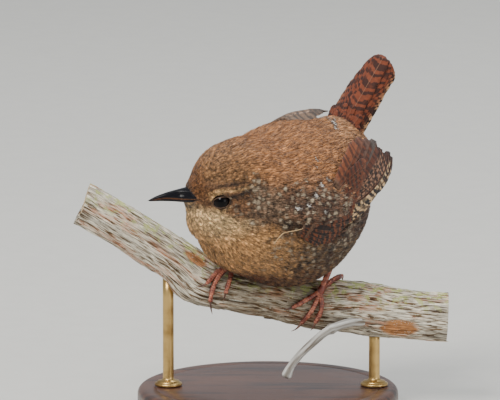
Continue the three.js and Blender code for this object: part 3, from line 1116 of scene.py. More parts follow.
@dataclass(frozen=True)
class LegFinish:
    """Scaled skin of shank and toes: blotches of two tones with fine, glossy scales."""

    name: str
    plate: Triple
    between: Triple
    blotches: float = 700.0
    scales: float = 5.0

    def material(self) -> Material:
        """Builds it.

        Returns:
            The material.
        """
        shade = Shade(self.name)
        blotch = shade.noise(shade.place(), self.blotches)
        fine = shade.scatter(shade.value("grain"), self.scales)[0]
        color = shade.dyed(self.between, self.plate, shade.step(blotch, 0.35, 0.65))
        color = shade.lit(color, shade.scaled(fine, 0.35, 0.8))
        rough, relief = shade.scaled(blotch, 0.25, 0.2), shade.bump(shade.scaled(blotch, 0.5, fine), 0.00007)
        return shade.finish(color, rough, relief, Coat_Weight=0.35, Coat_Roughness=0.22)


@dataclass(frozen=True)
class BarkFinish:
    """Weathered bark: long fibres in greys and browns, cracks, lichen, salmon streaks and ringed cut ends.

    Cracks and low furrows are darkened, partly in their own dark colour and partly as painted shade.

    shade_from and shade_to hold the ends of the browner stretch under the bird, a painted shadow of the bird, in
    millimetres along the branch.
    """

    name: str = "weathered_bark"
    shade_from: Pair = (-22.0, -8.0)
    shade_to: Pair = (24.0, 12.0)
    rings: float = 6.5
    depth: float = 0.0005

    def material(self) -> Material:
        """Builds it.

        Returns:
            The material.
        """
        shade = Shade(self.name)
        grain = shade.value("grain")
        low, bare, moss = shade.parts(shade.value("relief"))
        ahead, high, wide = shade.parts(grain)
        fibre = shade.noise(shade.stretched(grain, 0.16, 1.5, 1.5), 1.6, 5.0, 0.6)
        thread = shade.noise(shade.stretched(grain, 0.3, 5.0, 5.0), 1.5)
        patch = shade.noise(shade.stretched(grain, 0.09, 0.3, 0.3), 1.0)
        lichen = shade.noise(grain, 0.55, 4.0)
        # The stretch of bark under the bird is painted browner, as the bird's shadow.
        bird_shadow = shade.times(shade.step(ahead, *self.shade_from), shade.step(ahead, *self.shade_to))
        salmon = shade.times(shade.step(patch, 0.5, 0.36), shade.step(thread, 0.4, 0.56))
        green = shade.times(shade.step(lichen, 0.5, 0.62), moss)
        color = shade.dyed(linear(110, 88, 64), linear(230, 222, 202), shade.step(fibre, 0.4, 0.58))
        color = shade.dyed(color, linear(186, 178, 162), shade.step(patch, 0.5, 0.66), 0.7)
        color = shade.dyed(color, linear(122, 98, 66), bird_shadow, 0.5)
        color = shade.dyed(color, linear(188, 124, 90), salmon, 0.7)
        color = shade.dyed(color, linear(172, 178, 104), green, 0.8)
        color = shade.dyed(color, shade.dyed(linear(150, 92, 54), linear(214, 156, 104), thread), bare)
        far = shade.math("SQRT", shade.math("ADD", shade.math("POWER", high, 2.0), shade.math("POWER", wide, 2.0)))
        rings = shade.math("SINE", shade.scaled(fibre, 3.0, shade.times(far, self.rings)))
        wood = shade.dyed(linear(206, 168, 122), linear(232, 206, 166), shade.step(rings, -1.0, 1.0))
        color = shade.dyed(color, wood, shade.step(bare, 1.2, 1.6))
        crust = shade.times(shade.step(shade.noise(grain, 2.6, 4.0), 0.58, 0.68), shade.step(lichen, 0.4, 0.6))
        color = shade.dyed(color, linear(226, 224, 210), crust, 0.75)
        # Cracks and the lowest parts of the relief are darkened: their own dark colour and painted shade in the
        # furrows.
        crack_and_shade = shade.math("MAXIMUM", low, shade.step(fibre, 0.42, 0.33))
        crack_and_shade = shade.math("MAXIMUM", crack_and_shade, shade.times(shade.step(thread, 0.4, 0.3), 0.8))
        color = shade.dyed(color, linear(54, 38, 26), crack_and_shade, 0.9)
        color = shade.lit(color, shade.scaled(thread, 1.9, 0.1))
        height = shade.math("ADD", fibre, shade.times(thread, 0.6))
        return shade.finish(color, 0.88, shade.bump(height, self.depth), Specular_IOR_Level=0.2)


@dataclass(frozen=True)
class WoodFinish:
    """Wood with long grain: bleached and bare, or dark, ringed and polished."""

    name: str
    pale: Triple
    dark: Triple
    roughness: float
    coat: float = 0.0
    ring_scale: float = 0.0

    def material(self) -> Material:
        """Builds it.

        Returns:
            The material.
        """
        shade = Shade(self.name)
        grain = shade.value("grain")
        long = shade.noise(shade.stretched(grain, 0.05, 0.6, 0.6), 1.2, 4.0, 0.8)
        pores = shade.noise(shade.stretched(grain, 0.3, 3.4, 3.4), 1.6)
        if self.ring_scale:
            swirl = shade.noise(shade.stretched(grain, 0.02, 0.25, 0.25), 1.0, 2.0)
            rings = shade.scaled(swirl, 9.0, shade.times(shade.parts(grain)[2], self.ring_scale))
            long = shade.scaled(shade.math("SINE", rings), 0.22, long)
        color = shade.dyed(self.dark, self.pale, shade.step(long, 0.3, 0.72))
        color = shade.lit(color, shade.scaled(pores, 0.5, 0.75))
        rough, relief = shade.scaled(pores, 0.2, self.roughness), shade.bump(pores, 0.0001)
        return shade.finish(color, rough, relief, Coat_Weight=self.coat, Coat_Roughness=0.25)


@dataclass(frozen=True)
class BrassFinish:
    """Satin brass with turning marks and a little tarnish."""

    name: str = "satin_brass"
    bright: Triple = tone(206, 172, 110)
    dull: Triple = tone(150, 116, 66)

    def material(self) -> Material:
        """Builds it.

        Returns:
            The material.
        """
        shade = Shade(self.name)
        tarnish = shade.noise(shade.place(), 160.0, 4.0)
        marks = shade.noise(shade.stretched(shade.place(), 30.0, 30.0, 9000.0), 1.0, 2.0)
        color = shade.dyed(self.bright, self.dull, shade.step(tarnish, 0.4, 0.75))
        return shade.finish(color, shade.scaled(tarnish, 0.3, 0.2), shade.bump(marks, 0.00003), Metallic=1.0)


@dataclass(frozen=True)
class PaintFinish:
    """A matt, slightly uneven paint."""

    name: str
    color: Triple
    fleck: float

    def material(self) -> Material:
        """Builds it.

        Returns:
            The material.
        """
        shade = Shade(self.name)
        fleck = shade.noise(shade.place(), self.fleck)
        color = shade.lit(self.color, shade.scaled(fleck, 0.08, 0.96))
        return shade.finish(color, 0.85, shade.bump(fleck, 0.00005), Specular_IOR_Level=0.2)


# Geometry Nodes


class Growth(Tree):
    """A Geometry Nodes tree that sets many small copies on a path or a surface."""

    def __init__(self, name: str, inputs: dict[str, float | int]) -> None:
        """Starts a tree with a geometry input, a material and named numbers.

        Args:
            name: The tree's name.
            inputs: Names and values of its numbers. A whole number makes a whole-number input.
        """
        super().__init__(bpy.data.node_groups.new(name, "GeometryNodeTree"))
        face = self.tree.interface
        for way in ("OUTPUT", "INPUT"):
            face.new_socket("Geometry", in_out=way, socket_type="NodeSocketGeometry")
        face.new_socket("Finish", in_out="INPUT", socket_type="NodeSocketMaterial")
        for label, value in inputs.items():
            kind = "NodeSocketInt" if isinstance(value, int) else "NodeSocketFloat"
            face.new_socket(label, in_out="INPUT", socket_type=kind)
        self.inputs = inputs
        self.entry = self.tree.nodes.new("NodeGroupInput").outputs

    def named(self, name: str, kind: str) -> Socket:
        """A named value of the geometry."""
        return self.node("GeometryNodeInputNamedAttribute", {"Name": name}, data_type=kind).outputs["Attribute"]

    def facing(self, first: Socket, second: Socket, **axes: str) -> Socket:
        """A turn that points two of a copy's axes along two directions."""
        inputs = {"Primary Axis": first, "Secondary Axis": second}
        return self.node("FunctionNodeAxesToRotation", inputs, **axes).outputs[0]

    def close(self, points: Socket, copy: Socket, turn: Socket, size: Socket) -> None:
        """Ends the tree: copies set on the points, made real, smooth and with their finish.

        Args:
            points: Where they stand.
            copy: What is copied.
            turn: Their turns.
            size: Their scales.
        """
        inputs = {"Points": points, "Instance": copy, "Rotation": turn, "Scale": size}
        copies = self.node("GeometryNodeInstanceOnPoints", inputs).outputs[0]
        real = self.node("GeometryNodeRealizeInstances", {0: copies}).outputs[0]
        even = self.node("GeometryNodeSetShadeSmooth", {0: real}).outputs[0]
        dressed = self.node("GeometryNodeSetMaterial", {0: even, "Material": self.entry["Finish"]})
        self.node("NodeGroupOutput", {0: dressed.outputs[0]})

    def grown(self, name: str, base: bpy.types.Mesh, material: Material) -> bpy.types.Mesh:
        """Runs the tree on a mesh.

        Args:
            name: Name of the new mesh.
            base: The path or surface.
            material: The copies' finish.

        Returns:
            A plain mesh of the copies.
        """
        carrier = placed(name + "_base", base)
        modifier = carrier.modifiers.new("growth", "NODES")
        modifier.node_group = self.tree
        numbers = dict(self.inputs, Finish=material)
        for socket in self.tree.interface.items_tree:
            if socket.in_out == "INPUT" and socket.name in numbers:
                modifier[socket.identifier] = numbers[socket.name]
        made = taken_from(carrier)
        made.name = name
        return made


def scute_growth(spacing: float, seed: int) -> Growth:
    """Domed plates set close along a path, each as wide as the path is thick.

    Args:
        spacing: Distance between plates, in metres.
        seed: Chooses their sizes.

    Returns:
        The tree. Its path has a girth and an outward direction at each point.
    """
    sizes = {"Spacing": spacing, "Plate Length": 0.62, "Plate Width": 0.86, "Plate Height": 0.42}
    tree = Growth("scutes", sizes | {"Shortest": 0.88, "Longest": 1.12, "Seed": seed})
    line = tree.node("GeometryNodeMeshToCurve", {"Mesh": tree.entry["Geometry"]}).outputs[0]
    even = tree.node("GeometryNodeResampleCurve", {"Curve": line, "Length": tree.entry["Spacing"]}, mode="LENGTH")
    plate = tree.node("GeometryNodeMeshUVSphere", {"Segments": 12, "Rings": 8, "Radius": 1.0}).outputs[0]
    along = tree.node("GeometryNodeInputTangent", {}).outputs[0]
    facing = tree.facing(tree.named("outward", "FLOAT_VECTOR"), along, primary_axis="Z", secondary_axis="X")
    limits = {2: tree.entry["Shortest"], 3: tree.entry["Longest"], "Seed": tree.entry["Seed"]}
    chance = tree.node("FunctionNodeRandomValue", limits).outputs[1]
    girth = tree.times(tree.named("girth", "FLOAT"), chance)
    size = tree.combined(*(tree.times(girth, tree.entry[f"Plate {way}"]) for way in ("Length", "Width", "Height")))
    tree.close(even.outputs[0], plate, facing, size)
    return tree


def fibre_growth(density: float, seed: int) -> Growth:
    """Thin slivers scattered over bark, lying along it.

    Args:
        density: Slivers a square metre.
        seed: Chooses their places.

    Returns:
        The tree. Its surface has the direction of the grain and a share of the density at each point.
    """
    sizes = {"Density": density, "Thickness": 0.00016, "Shortest": 5.0, "Longest": 20.0, "Seed": seed}
    tree = Growth("bark_fibres", sizes)
    seed_in, thick = tree.entry["Seed"], tree.entry["Thickness"]
    dense = tree.times(tree.entry["Density"], tree.named("rough", "FLOAT"))
    where = {"Mesh": tree.entry["Geometry"], "Density": dense, "Seed": seed_in}
    spots = tree.node("GeometryNodeDistributePointsOnFaces", where)
    ball = tree.node("GeometryNodeMeshUVSphere", {"Segments": 5, "Rings": 6, "Radius": 1.0}).outputs[0]
    limits = {0: (-0.12,) * 3, 1: (0.12,) * 3, "Seed": seed_in}
    stray = tree.node("FunctionNodeRandomValue", limits, data_type="FLOAT_VECTOR").outputs[0]
    lean = tree.vector("ADD", tree.named("fibre", "FLOAT_VECTOR"), stray)
    facing = tree.facing(lean, spots.outputs["Normal"], primary_axis="X", secondary_axis="Z")
    limits = {2: tree.entry["Shortest"], 3: tree.entry["Longest"], "Seed": seed_in}
    long = tree.times(tree.node("FunctionNodeRandomValue", limits).outputs[1], thick)
    tree.close(spots.outputs["Points"], ball, facing, tree.combined(long, thick, thick))
    return tree


# The plumage's colours and lie


@dataclass(frozen=True)
class Markings:
    """Where each colour of the body plumage lies. Skin and feathers both read it."""

    brow: Rows = ((-6.6, 2.5), (-2.5, 1.6), (0, 1.2), (2.3, 1.3), (4.5, 1.2), (6.2, 0.2))
    brow_edge: Rows = ((-6, 4.0), (-2, 3.2), (0.5, 2.9), (4.4, 2.6))
    gape: Rows = ((9.0, -1.8), (13, -1.9))
    eye_line: Rows = ((-7.4, 2.0), (-4, 0.9), (-2, 0.1), (0.3, -0.7))
    neck: float = 5.0
    bar_spacing: float = 2.5

    def line_share(self, local: Array, line: Sequence[Sequence[float]], width: float) -> Array:
        """How close head places lie to a line drawn on its sides, from 0 to 1.

        Args:
            local: Places on the head's axes.
            line: Forward and up of the line's points, by rising forward.
            width: How far off the line the share has fallen to a third.

        Returns:
            One share a place.
        """
        at = np.array(line, float)
        forward = local[:, 0]
        height = np.interp(forward, at[:, 0], at[:, 1])
        past = np.maximum(at[0, 0] - forward, 0) + np.maximum(forward - at[-1, 0], 0)
        off = np.sqrt((local[:, 2] - height) ** 2 + past**2)
        return np.exp(-((off / width) ** 2)) * smooth(np.abs(local[:, 1]), 2.5, 4.5)

    def headness(self, places: Array) -> Array:
        """From 0 on the body to 1 on the head."""
        return 1 - smooth(on_head(places), -self.neck, self.neck)

    def body_ground(self, places: Array) -> Array:
        """Ground colour of the body at places.

        Args:
            places: Places in the frame.

        Returns:
            One colour a place.
        """
        forward, _, up = TORSO.into(places).T
        height = up / 22 + 0.12 * noise(places, 6.0, 3) + 0.05 * noise(places, 2.0, 13)
        color = tinted(Tone.BELLY.light, Tone.FLANK.light, smooth(height, -0.85, -0.45))
        color = tinted(color, Tone.MANTLE.light, smooth(height, -0.2, 0.2))
        color = tinted(color, Tone.BACK.light, smooth(height, 0.25, 0.66))
        front = smooth(forward, 0, 14)
        color = tinted(color, Tone.BREAST.light, front * smooth(height, 0.2, -0.25) * smooth(height, -1.0, -0.7))
        color = tinted(color, Tone.NECK.light, front * bump_at(height, 0.25, 0.25) * 0.85)
        rear = smooth(forward, -8, -17)
        color = tinted(color, Tone.RUMP.light, rear * smooth(height, 0.1, 0.6))
        covert = smooth(forward, -6, -1) * smooth(forward, 15, 11) * smooth(up, -7, -3) * smooth(up, 12, 7)
        blotch = 0.55 + 0.45 * noise(places, 2.4, 17)
        color = tinted(color, Tone.COVERT.light, covert * blotch)
        # A dark patch at the wing's bend is painted shade in the hollow there.
        hollow = bump_at(forward, 12.6, 2.3) * bump_at(up, 0.2, 1.9)
        color = tinted(color, Tone.DARK.light, 0.9 * hollow)
        return color

    def head_ground(self, places: Array) -> Array:
        """Ground colour of the head at places.

        Args:
            places: Places in the frame.

        Returns:
            One colour a place.
        """
        local = HEAD.into(places)
        forward, _, up = local.T
        wave = 1.2 * noise(places, 3.0, 5)
        mottle = 0.8 + 0.3 * noise(places, 0.7, 15)
        color = tinted(Tone.THROAT.light, Tone.CHEEK.light, smooth(up + wave - 0.25 * forward, -8.5, -4.5))
        color = tinted(color, Tone.NECK.light, smooth(forward + wave, -4, -9) * smooth(up, -9, -3))
        color = tinted(color, Tone.CROWN.light, smooth(up + 0.5 * wave, 1.6, 4.4))
        color = tinted(color, Tone.FOREHEAD.light, smooth(forward, 6, 10) * smooth(up, -3, 0))
        color = tinted(color, Tone.DARK.light, 0.8 * self.line_share(local, self.brow_edge, 0.5))
        color = tinted(color, Tone.BUFF.light, 0.9 * self.line_share(local, self.brow, 0.58) * mottle)
        color = tinted(color, Tone.DARK.light, self.line_share(local, self.eye_line, 0.68))
        color = tinted(color, Tone.DARK.light, 0.8 * self.line_share(local, self.gape, 0.4))
        for side in SIDES.values():
            out, flat, reach = from_eye(places, side)
            ahead, over = flat @ HEAD.rows[0], flat @ HEAD.rows[2]
            facing = smooth(out[:, 0], 0, 1.5)
            ring = bump_at(reach[:, 0], 2.75, 0.55) * facing
            color = tinted(color, Tone.DARK.light, facing * bump_at(ahead, 3.3, 1.1) * bump_at(over, -0.6, 1.3) * 0.85)
            buff = np.maximum(smooth(over, -0.4, 0.6) * smooth(ahead, -1.5, 0.5), 0.55 * smooth(over, -0.8, -1.6))
            color = tinted(color, Tone.BUFF.light, ring * buff)
        return color

    def ground(self, places: Array) -> Array:
        """Ground colour of the whole coat at places."""
        return tinted(self.body_ground(places), self.head_ground(places), self.headness(places))

    def marks(self, places: Array) -> Array:
        """How much places are spotted pale, grained and specked dark, as triples.

        Args:
            places: Places in the frame.

        Returns:
            One triple a place.
        """
        forward, _, up = TORSO.into(places).T
        local = HEAD.into(places)
        head = self.headness(places)
        neck = smooth(local[:, 0], -3, -7) * smooth(local[:, 2], 8.5, 5) * smooth(local[:, 2], -14, -8)
        side = smooth(up, 15, 9) * smooth(up, -20, -12) * smooth(forward, -18, -10) * smooth(forward, 19, 12)
        cheek = 0.25 * smooth(local[:, 2], 0.0, -2) * smooth(local[:, 2], -8, -4) * smooth(local[:, 0], 4, 0)
        spotted = mix(0.62 * side, np.maximum(1.15 * neck, 1.6 * cheek), head)
        back = smooth(up, 9, 15)
        front = smooth(forward, 6, 14) * smooth(up, 2, -4)
        grained = mix(mix(mix(0.75, 0.5, front), 0.25, back), 0.75, head)
        specked = 0.32 * back * (1 - head)
        return np.stack([np.clip(spotted, 0, 1), grained, specked], -1)

    def bars(self, places: Array) -> Array:
        """A wave from -1 to 1 whose crests are the dark bars of the underparts.

        Args:
            places: Places in the frame.

        Returns:
            One value a place.
        """
        forward, _, up = np.moveaxis(TORSO.into(places), -1, 0)
        phase = (0.4 * up - 0.95 * forward) / self.bar_spacing + 0.6 * noise(places, 3.2, 9)
        return np.sin(FULL_TURN * phase)

    def barred(self, places: Array) -> Array:
        """How strongly feathers are barred across.

        Args:
            places: Places in the frame.

        Returns:
            One share a place.
        """
        forward, _, up = TORSO.into(places).T
        low = smooth(up, -1, -9)
        rear = smooth(forward, 14, 2)
        return (0.25 + 0.75 * rear) * low * smooth(forward, 18, 9) * (1 - self.headness(places))


@dataclass(frozen=True)
class Coat:
    """Lie, size and depth of the body feathers.

    lengths, widths and depths hold those at the bill, on the crown and on the body, and by_eye the shares that
    they lose beside the eyes.
    """

    markings: Markings = Markings()
    body_roots: int = 25000
    head_roots: int = 15000
    lengths: Triple = (1.1, 3.2, 4.8)
    widths: Triple = (0.36, 0.8, 1.25)
    depths: Triple = (0.25, 0.9, 1.4)
    by_eye: Triple = (0.5, 0.5, 0.6)
    eye_clear: float = 2.35
    parting: float = 2.3
    source: Triple = (11.0, 0.0, -1.5)
    sink: Triple = (-27.0, 0.0, 9.0)

    def sizes(self, places: Array) -> tuple[Array, Array, Array]:
        """Length and width of a feather, and depth of the coat, at places.

        Args:
            places: Places in the frame.

        Returns:
            The three in millimetres, each with one value a place.
        """
        from_bill = np.linalg.norm(places - HEAD.out([9.0, 0, -1.5]), axis=1)
        grown = smooth(from_bill, 0.5, 17)
        eye = np.minimum(*(np.linalg.norm(places - eye_centre(side), axis=1) for side in (1, -1)))
        near_eye = 1 - smooth(eye, 2.6, 6.5)
        body = 1 - self.markings.headness(places)
        rows = zip((self.lengths, self.widths, self.depths), self.by_eye)
        return tuple(mix(mix(a, b, grown), c, body) * (1 - loss * near_eye) for (a, b, c), loss in rows)

    def lie(self, places: Array, normals: Array) -> Array:
        """The way feathers point: from the bill to the tail, parting round the eyes.

        Args:
            places: Places in the frame.
            normals: Outward directions there.

        Returns:
            One unit direction a place.
        """
        start, end = HEAD.out(self.source), TORSO.out(self.sink)
        from_start, to_end = places - start, end - places
        flow = from_start / dot(from_start, from_start) + 1.1 * to_end / dot(to_end, to_end)
        flow = unit(flow - dot(flow, normals) * normals)
        for side in SIDES.values():
            out, flat, reach = from_eye(places, side)
            radial = flat / (reach + EPS)
            facing = smooth(out, -1, 1.5)
            strength = facing * np.minimum((self.parting / np.maximum(reach, self.parting)) ** 2, 1.0)
            around = flow * (1 + strength) - 2 * strength * dot(flow, radial) * radial
            flow = around + 0.75 * facing * bump_at(reach, self.parting, 1.6) * radial
            flow = unit(flow - dot(flow, normals) * normals)
        return flow

    def over_wing(self, places: Array) -> tuple[Array, ...]:
        """Sets places against the folded wings' edges.

        Args:
            places: Places in the frame.

        Returns:
            Forward, up, how far ahead of the coverts, over the lower and over the upper edge, and whether beside.
        """
        forward, left, up = TORSO.into(places).T
        low, high = (np.interp(-forward, *(np.array(edge).T * [[-1], [1]])) for edge in (WING_LOWER, WING_UPPER))
        ahead = forward - np.interp(up, *np.array(COVERT_EDGE).T)
        return forward, up, ahead, up - low, up - high, np.abs(left) > 6

    def margin(self, places: Array) -> Array:
        """How far the coat stands off the flesh to lie over the folded wings' coverts and edges.

        Args:
            places: Places in the frame.

        Returns:
            Millimetres, one value a place.
        """
        forward, up, ahead, over_low, over_high, beside = self.over_wing(places)
        upper = 1.7 * bump_at(over_high, -0.6, 2.6) * smooth(forward, 13, 7) * smooth(forward, -20, -9)
        lower = 0.9 * bump_at(over_low, -1.0, 1.8) * smooth(forward, 14, 9) * smooth(forward, -8, 1)
        shoulder = 2.2 * smooth(forward, 15, 9.5) * smooth(ahead, -2.5, 1.0) * smooth(up, -2.0, 1.5)
        return np.maximum(np.maximum(upper, lower), shoulder * smooth(over_high, 2.2, -1)) * beside

    def clear_of(self, places: Array) -> Array:
        """Which roots lie clear of eyes, bill and folded wings.

        Args:
            places: Places in the frame.

        Returns:
            Whether each is kept.
        """
        kept = np.ones(len(places), bool)
        for side in SIDES.values():
            out, flat, _ = from_eye(places, side)
            reach = np.linalg.norm(flat + 0.3 * dot(flat, UP) * UP, axis=1)
            kept &= (reach > self.eye_clear) | (out[:, 0] < 0)
        local = HEAD.into(places)
        gape = 9.9 + 0.85 * np.abs(local[:, 2] + 1.9)
        bill = (local[:, 0] > gape) & (np.abs(local[:, 1]) < 4.6) & (np.abs(local[:, 2] + 1.0) < 2.6)
        _, _, ahead, over_low, over_high, beside = self.over_wing(places)
        wing = beside & (ahead < 1.0) & (over_low > 1.0) & (over_high < -2.4)
        return kept & ~bill & ~wing


COVERT_EDGE = ((-8, 9.5), (-0.8, 8.2), (1.5, 1.5), (3.4, -4.2), (8.6, -8.0), (14, -9.0), (21, -6.2))
WING_LOWER = ((12.6, 0), (10, -3.0), (5, -5.6), (0, -5.6), (-8, -2.4), (-15.5, 2.2), (-21.8, 7.2), (-28.4, 13))
WING_UPPER = ((13, 2.2), (10, 4.6), (4, 8.2), (-3, 12.4), (-10, 17.8), (-15.5, 20.8), (-21, 18.6), (-29, 13.5))
COAT = Coat()


@dataclass(frozen=True)
class Tuft:
    """One kind of small feather: thin closed barbs that fan out from one root.

    fan says where each barb runs across the feather, reach how long it is, and barb how wide.
    """

    fan: tuple[float, ...]
    reach: tuple[float, ...]
    barb: float
    walk: tuple[float, ...] = (0, 0.35, 0.65, 0.86, 1)
    stations: tuple[float, ...] = (0, 0.42, 0.78, 1)
    widths: tuple[float, ...] = (0.55, 1.0, 0.7)

    def weights(self) -> Array:
        """Shares of the walk's places in each station of each barb.

        Returns:
            Shares by barb, station and place of the walk.
        """
        steps = np.eye(len(self.walk))
        at = np.outer(self.reach, self.stations)
        return np.stack([np.interp(at, self.walk, step) for step in steps], -1)

    def faces(self, count: int) -> list[Array]:
        """Faces of many barbs, which have three points at each station and one at the tip.

        Args:
            count: How many barbs.

        Returns:
            The four-cornered faces and the triangles.
        """
        quads, rings = [], len(self.widths)
        for row in range(rings - 1):
            left, right, keel = 3 * row, 3 * row + 1, 3 * row + 2
            quads.append([left, left + 3, right + 3, right])
            quads.append([left, keel, keel + 3, left + 3])
            quads.append([keel, right, right + 3, keel + 3])
        left, right, keel, tip = 3 * rings - 3, 3 * rings - 2, 3 * rings - 1, 3 * rings
        triangles = [[left, tip, right], [left, keel, tip], [keel, right, tip], [2, 0, 1]]
        starts = (np.arange(count) * (tip + 1))[:, None, None]
        return [(np.array(group)[None] + starts).reshape(-1, len(group[0])) for group in (quads, triangles)]

    def triangles(self) -> int:
        """Triangles of one feather."""
        return len(self.fan) * (6 * (len(self.widths) - 1) + 4)

    def spread(self, values: Array) -> Array:
        """Values at the walk's places brought to each point of each barb.

        Args:
            values: Values by feather, place of the walk and number.

        Returns:
            Values by feather, barb, point and number.
        """
        stations = np.einsum("kjr,nrc->nkjc", self.weights(), values)
        rings = np.repeat(stations[:, :, :-1], 3, axis=2)
        return np.concatenate([rings, stations[:, :, -1:]], axis=2)

    def points(
        self, spines: Array, normals: Array, widths: Array, rng: np.random.Generator
    ) -> Array:
        """Points of the barbs of many feathers.

        Args:
            spines: Places of each feather's middle line at the walk's shares.
            normals: Outward directions there.
            widths: Full width of each feather.
            rng: Source of the barbs' small differences.

        Returns:
            The points by feather, barb and point.
        """
        along = unit(np.gradient(spines, axis=1))
        outward = unit(normals - dot(normals, along) * along)
        middle, away = self.spread(spines), unit(self.spread(outward))
        across = np.cross(away, unit(self.spread(along)))
        shares = np.r_[np.repeat(self.stations[:-1], 3), self.stations[-1]]
        size = widths[:, None, None]
        loose = rng.normal(0, 0.12, (len(spines), len(self.fan), 1))
        run = (np.array(self.fan)[None, :, None] + loose) * size / 2 * (0.12 + 0.88 * shares**0.8)
        half = self.barb * size / 2 * np.r_[np.repeat(self.widths, 3), 0.0]
        sign = np.r_[np.tile([-1.0, 1.0, 0.0], len(self.widths)), 0.0]
        sink = np.r_[np.tile([0.0, 0.0, 1.0], len(self.widths)), 0.0]
        lift = rng.normal(0, 0.05, loose.shape) * size - 0.1 * size * np.abs(self.fan)[None, :, None]
        side = run + half * sign
        high = lift * shares - sink * (0.7 * half + 0.015)
        return middle + across * side[..., None] + away * high[..., None]


BODY_TUFT = Tuft((-0.95, -0.34, 0.3, 0.9), (0.82, 1.0, 0.94, 0.78), 0.33)
HEAD_TUFT = Tuft((-0.8, 0.05, 0.8), (0.84, 1.0, 0.88), 0.46)


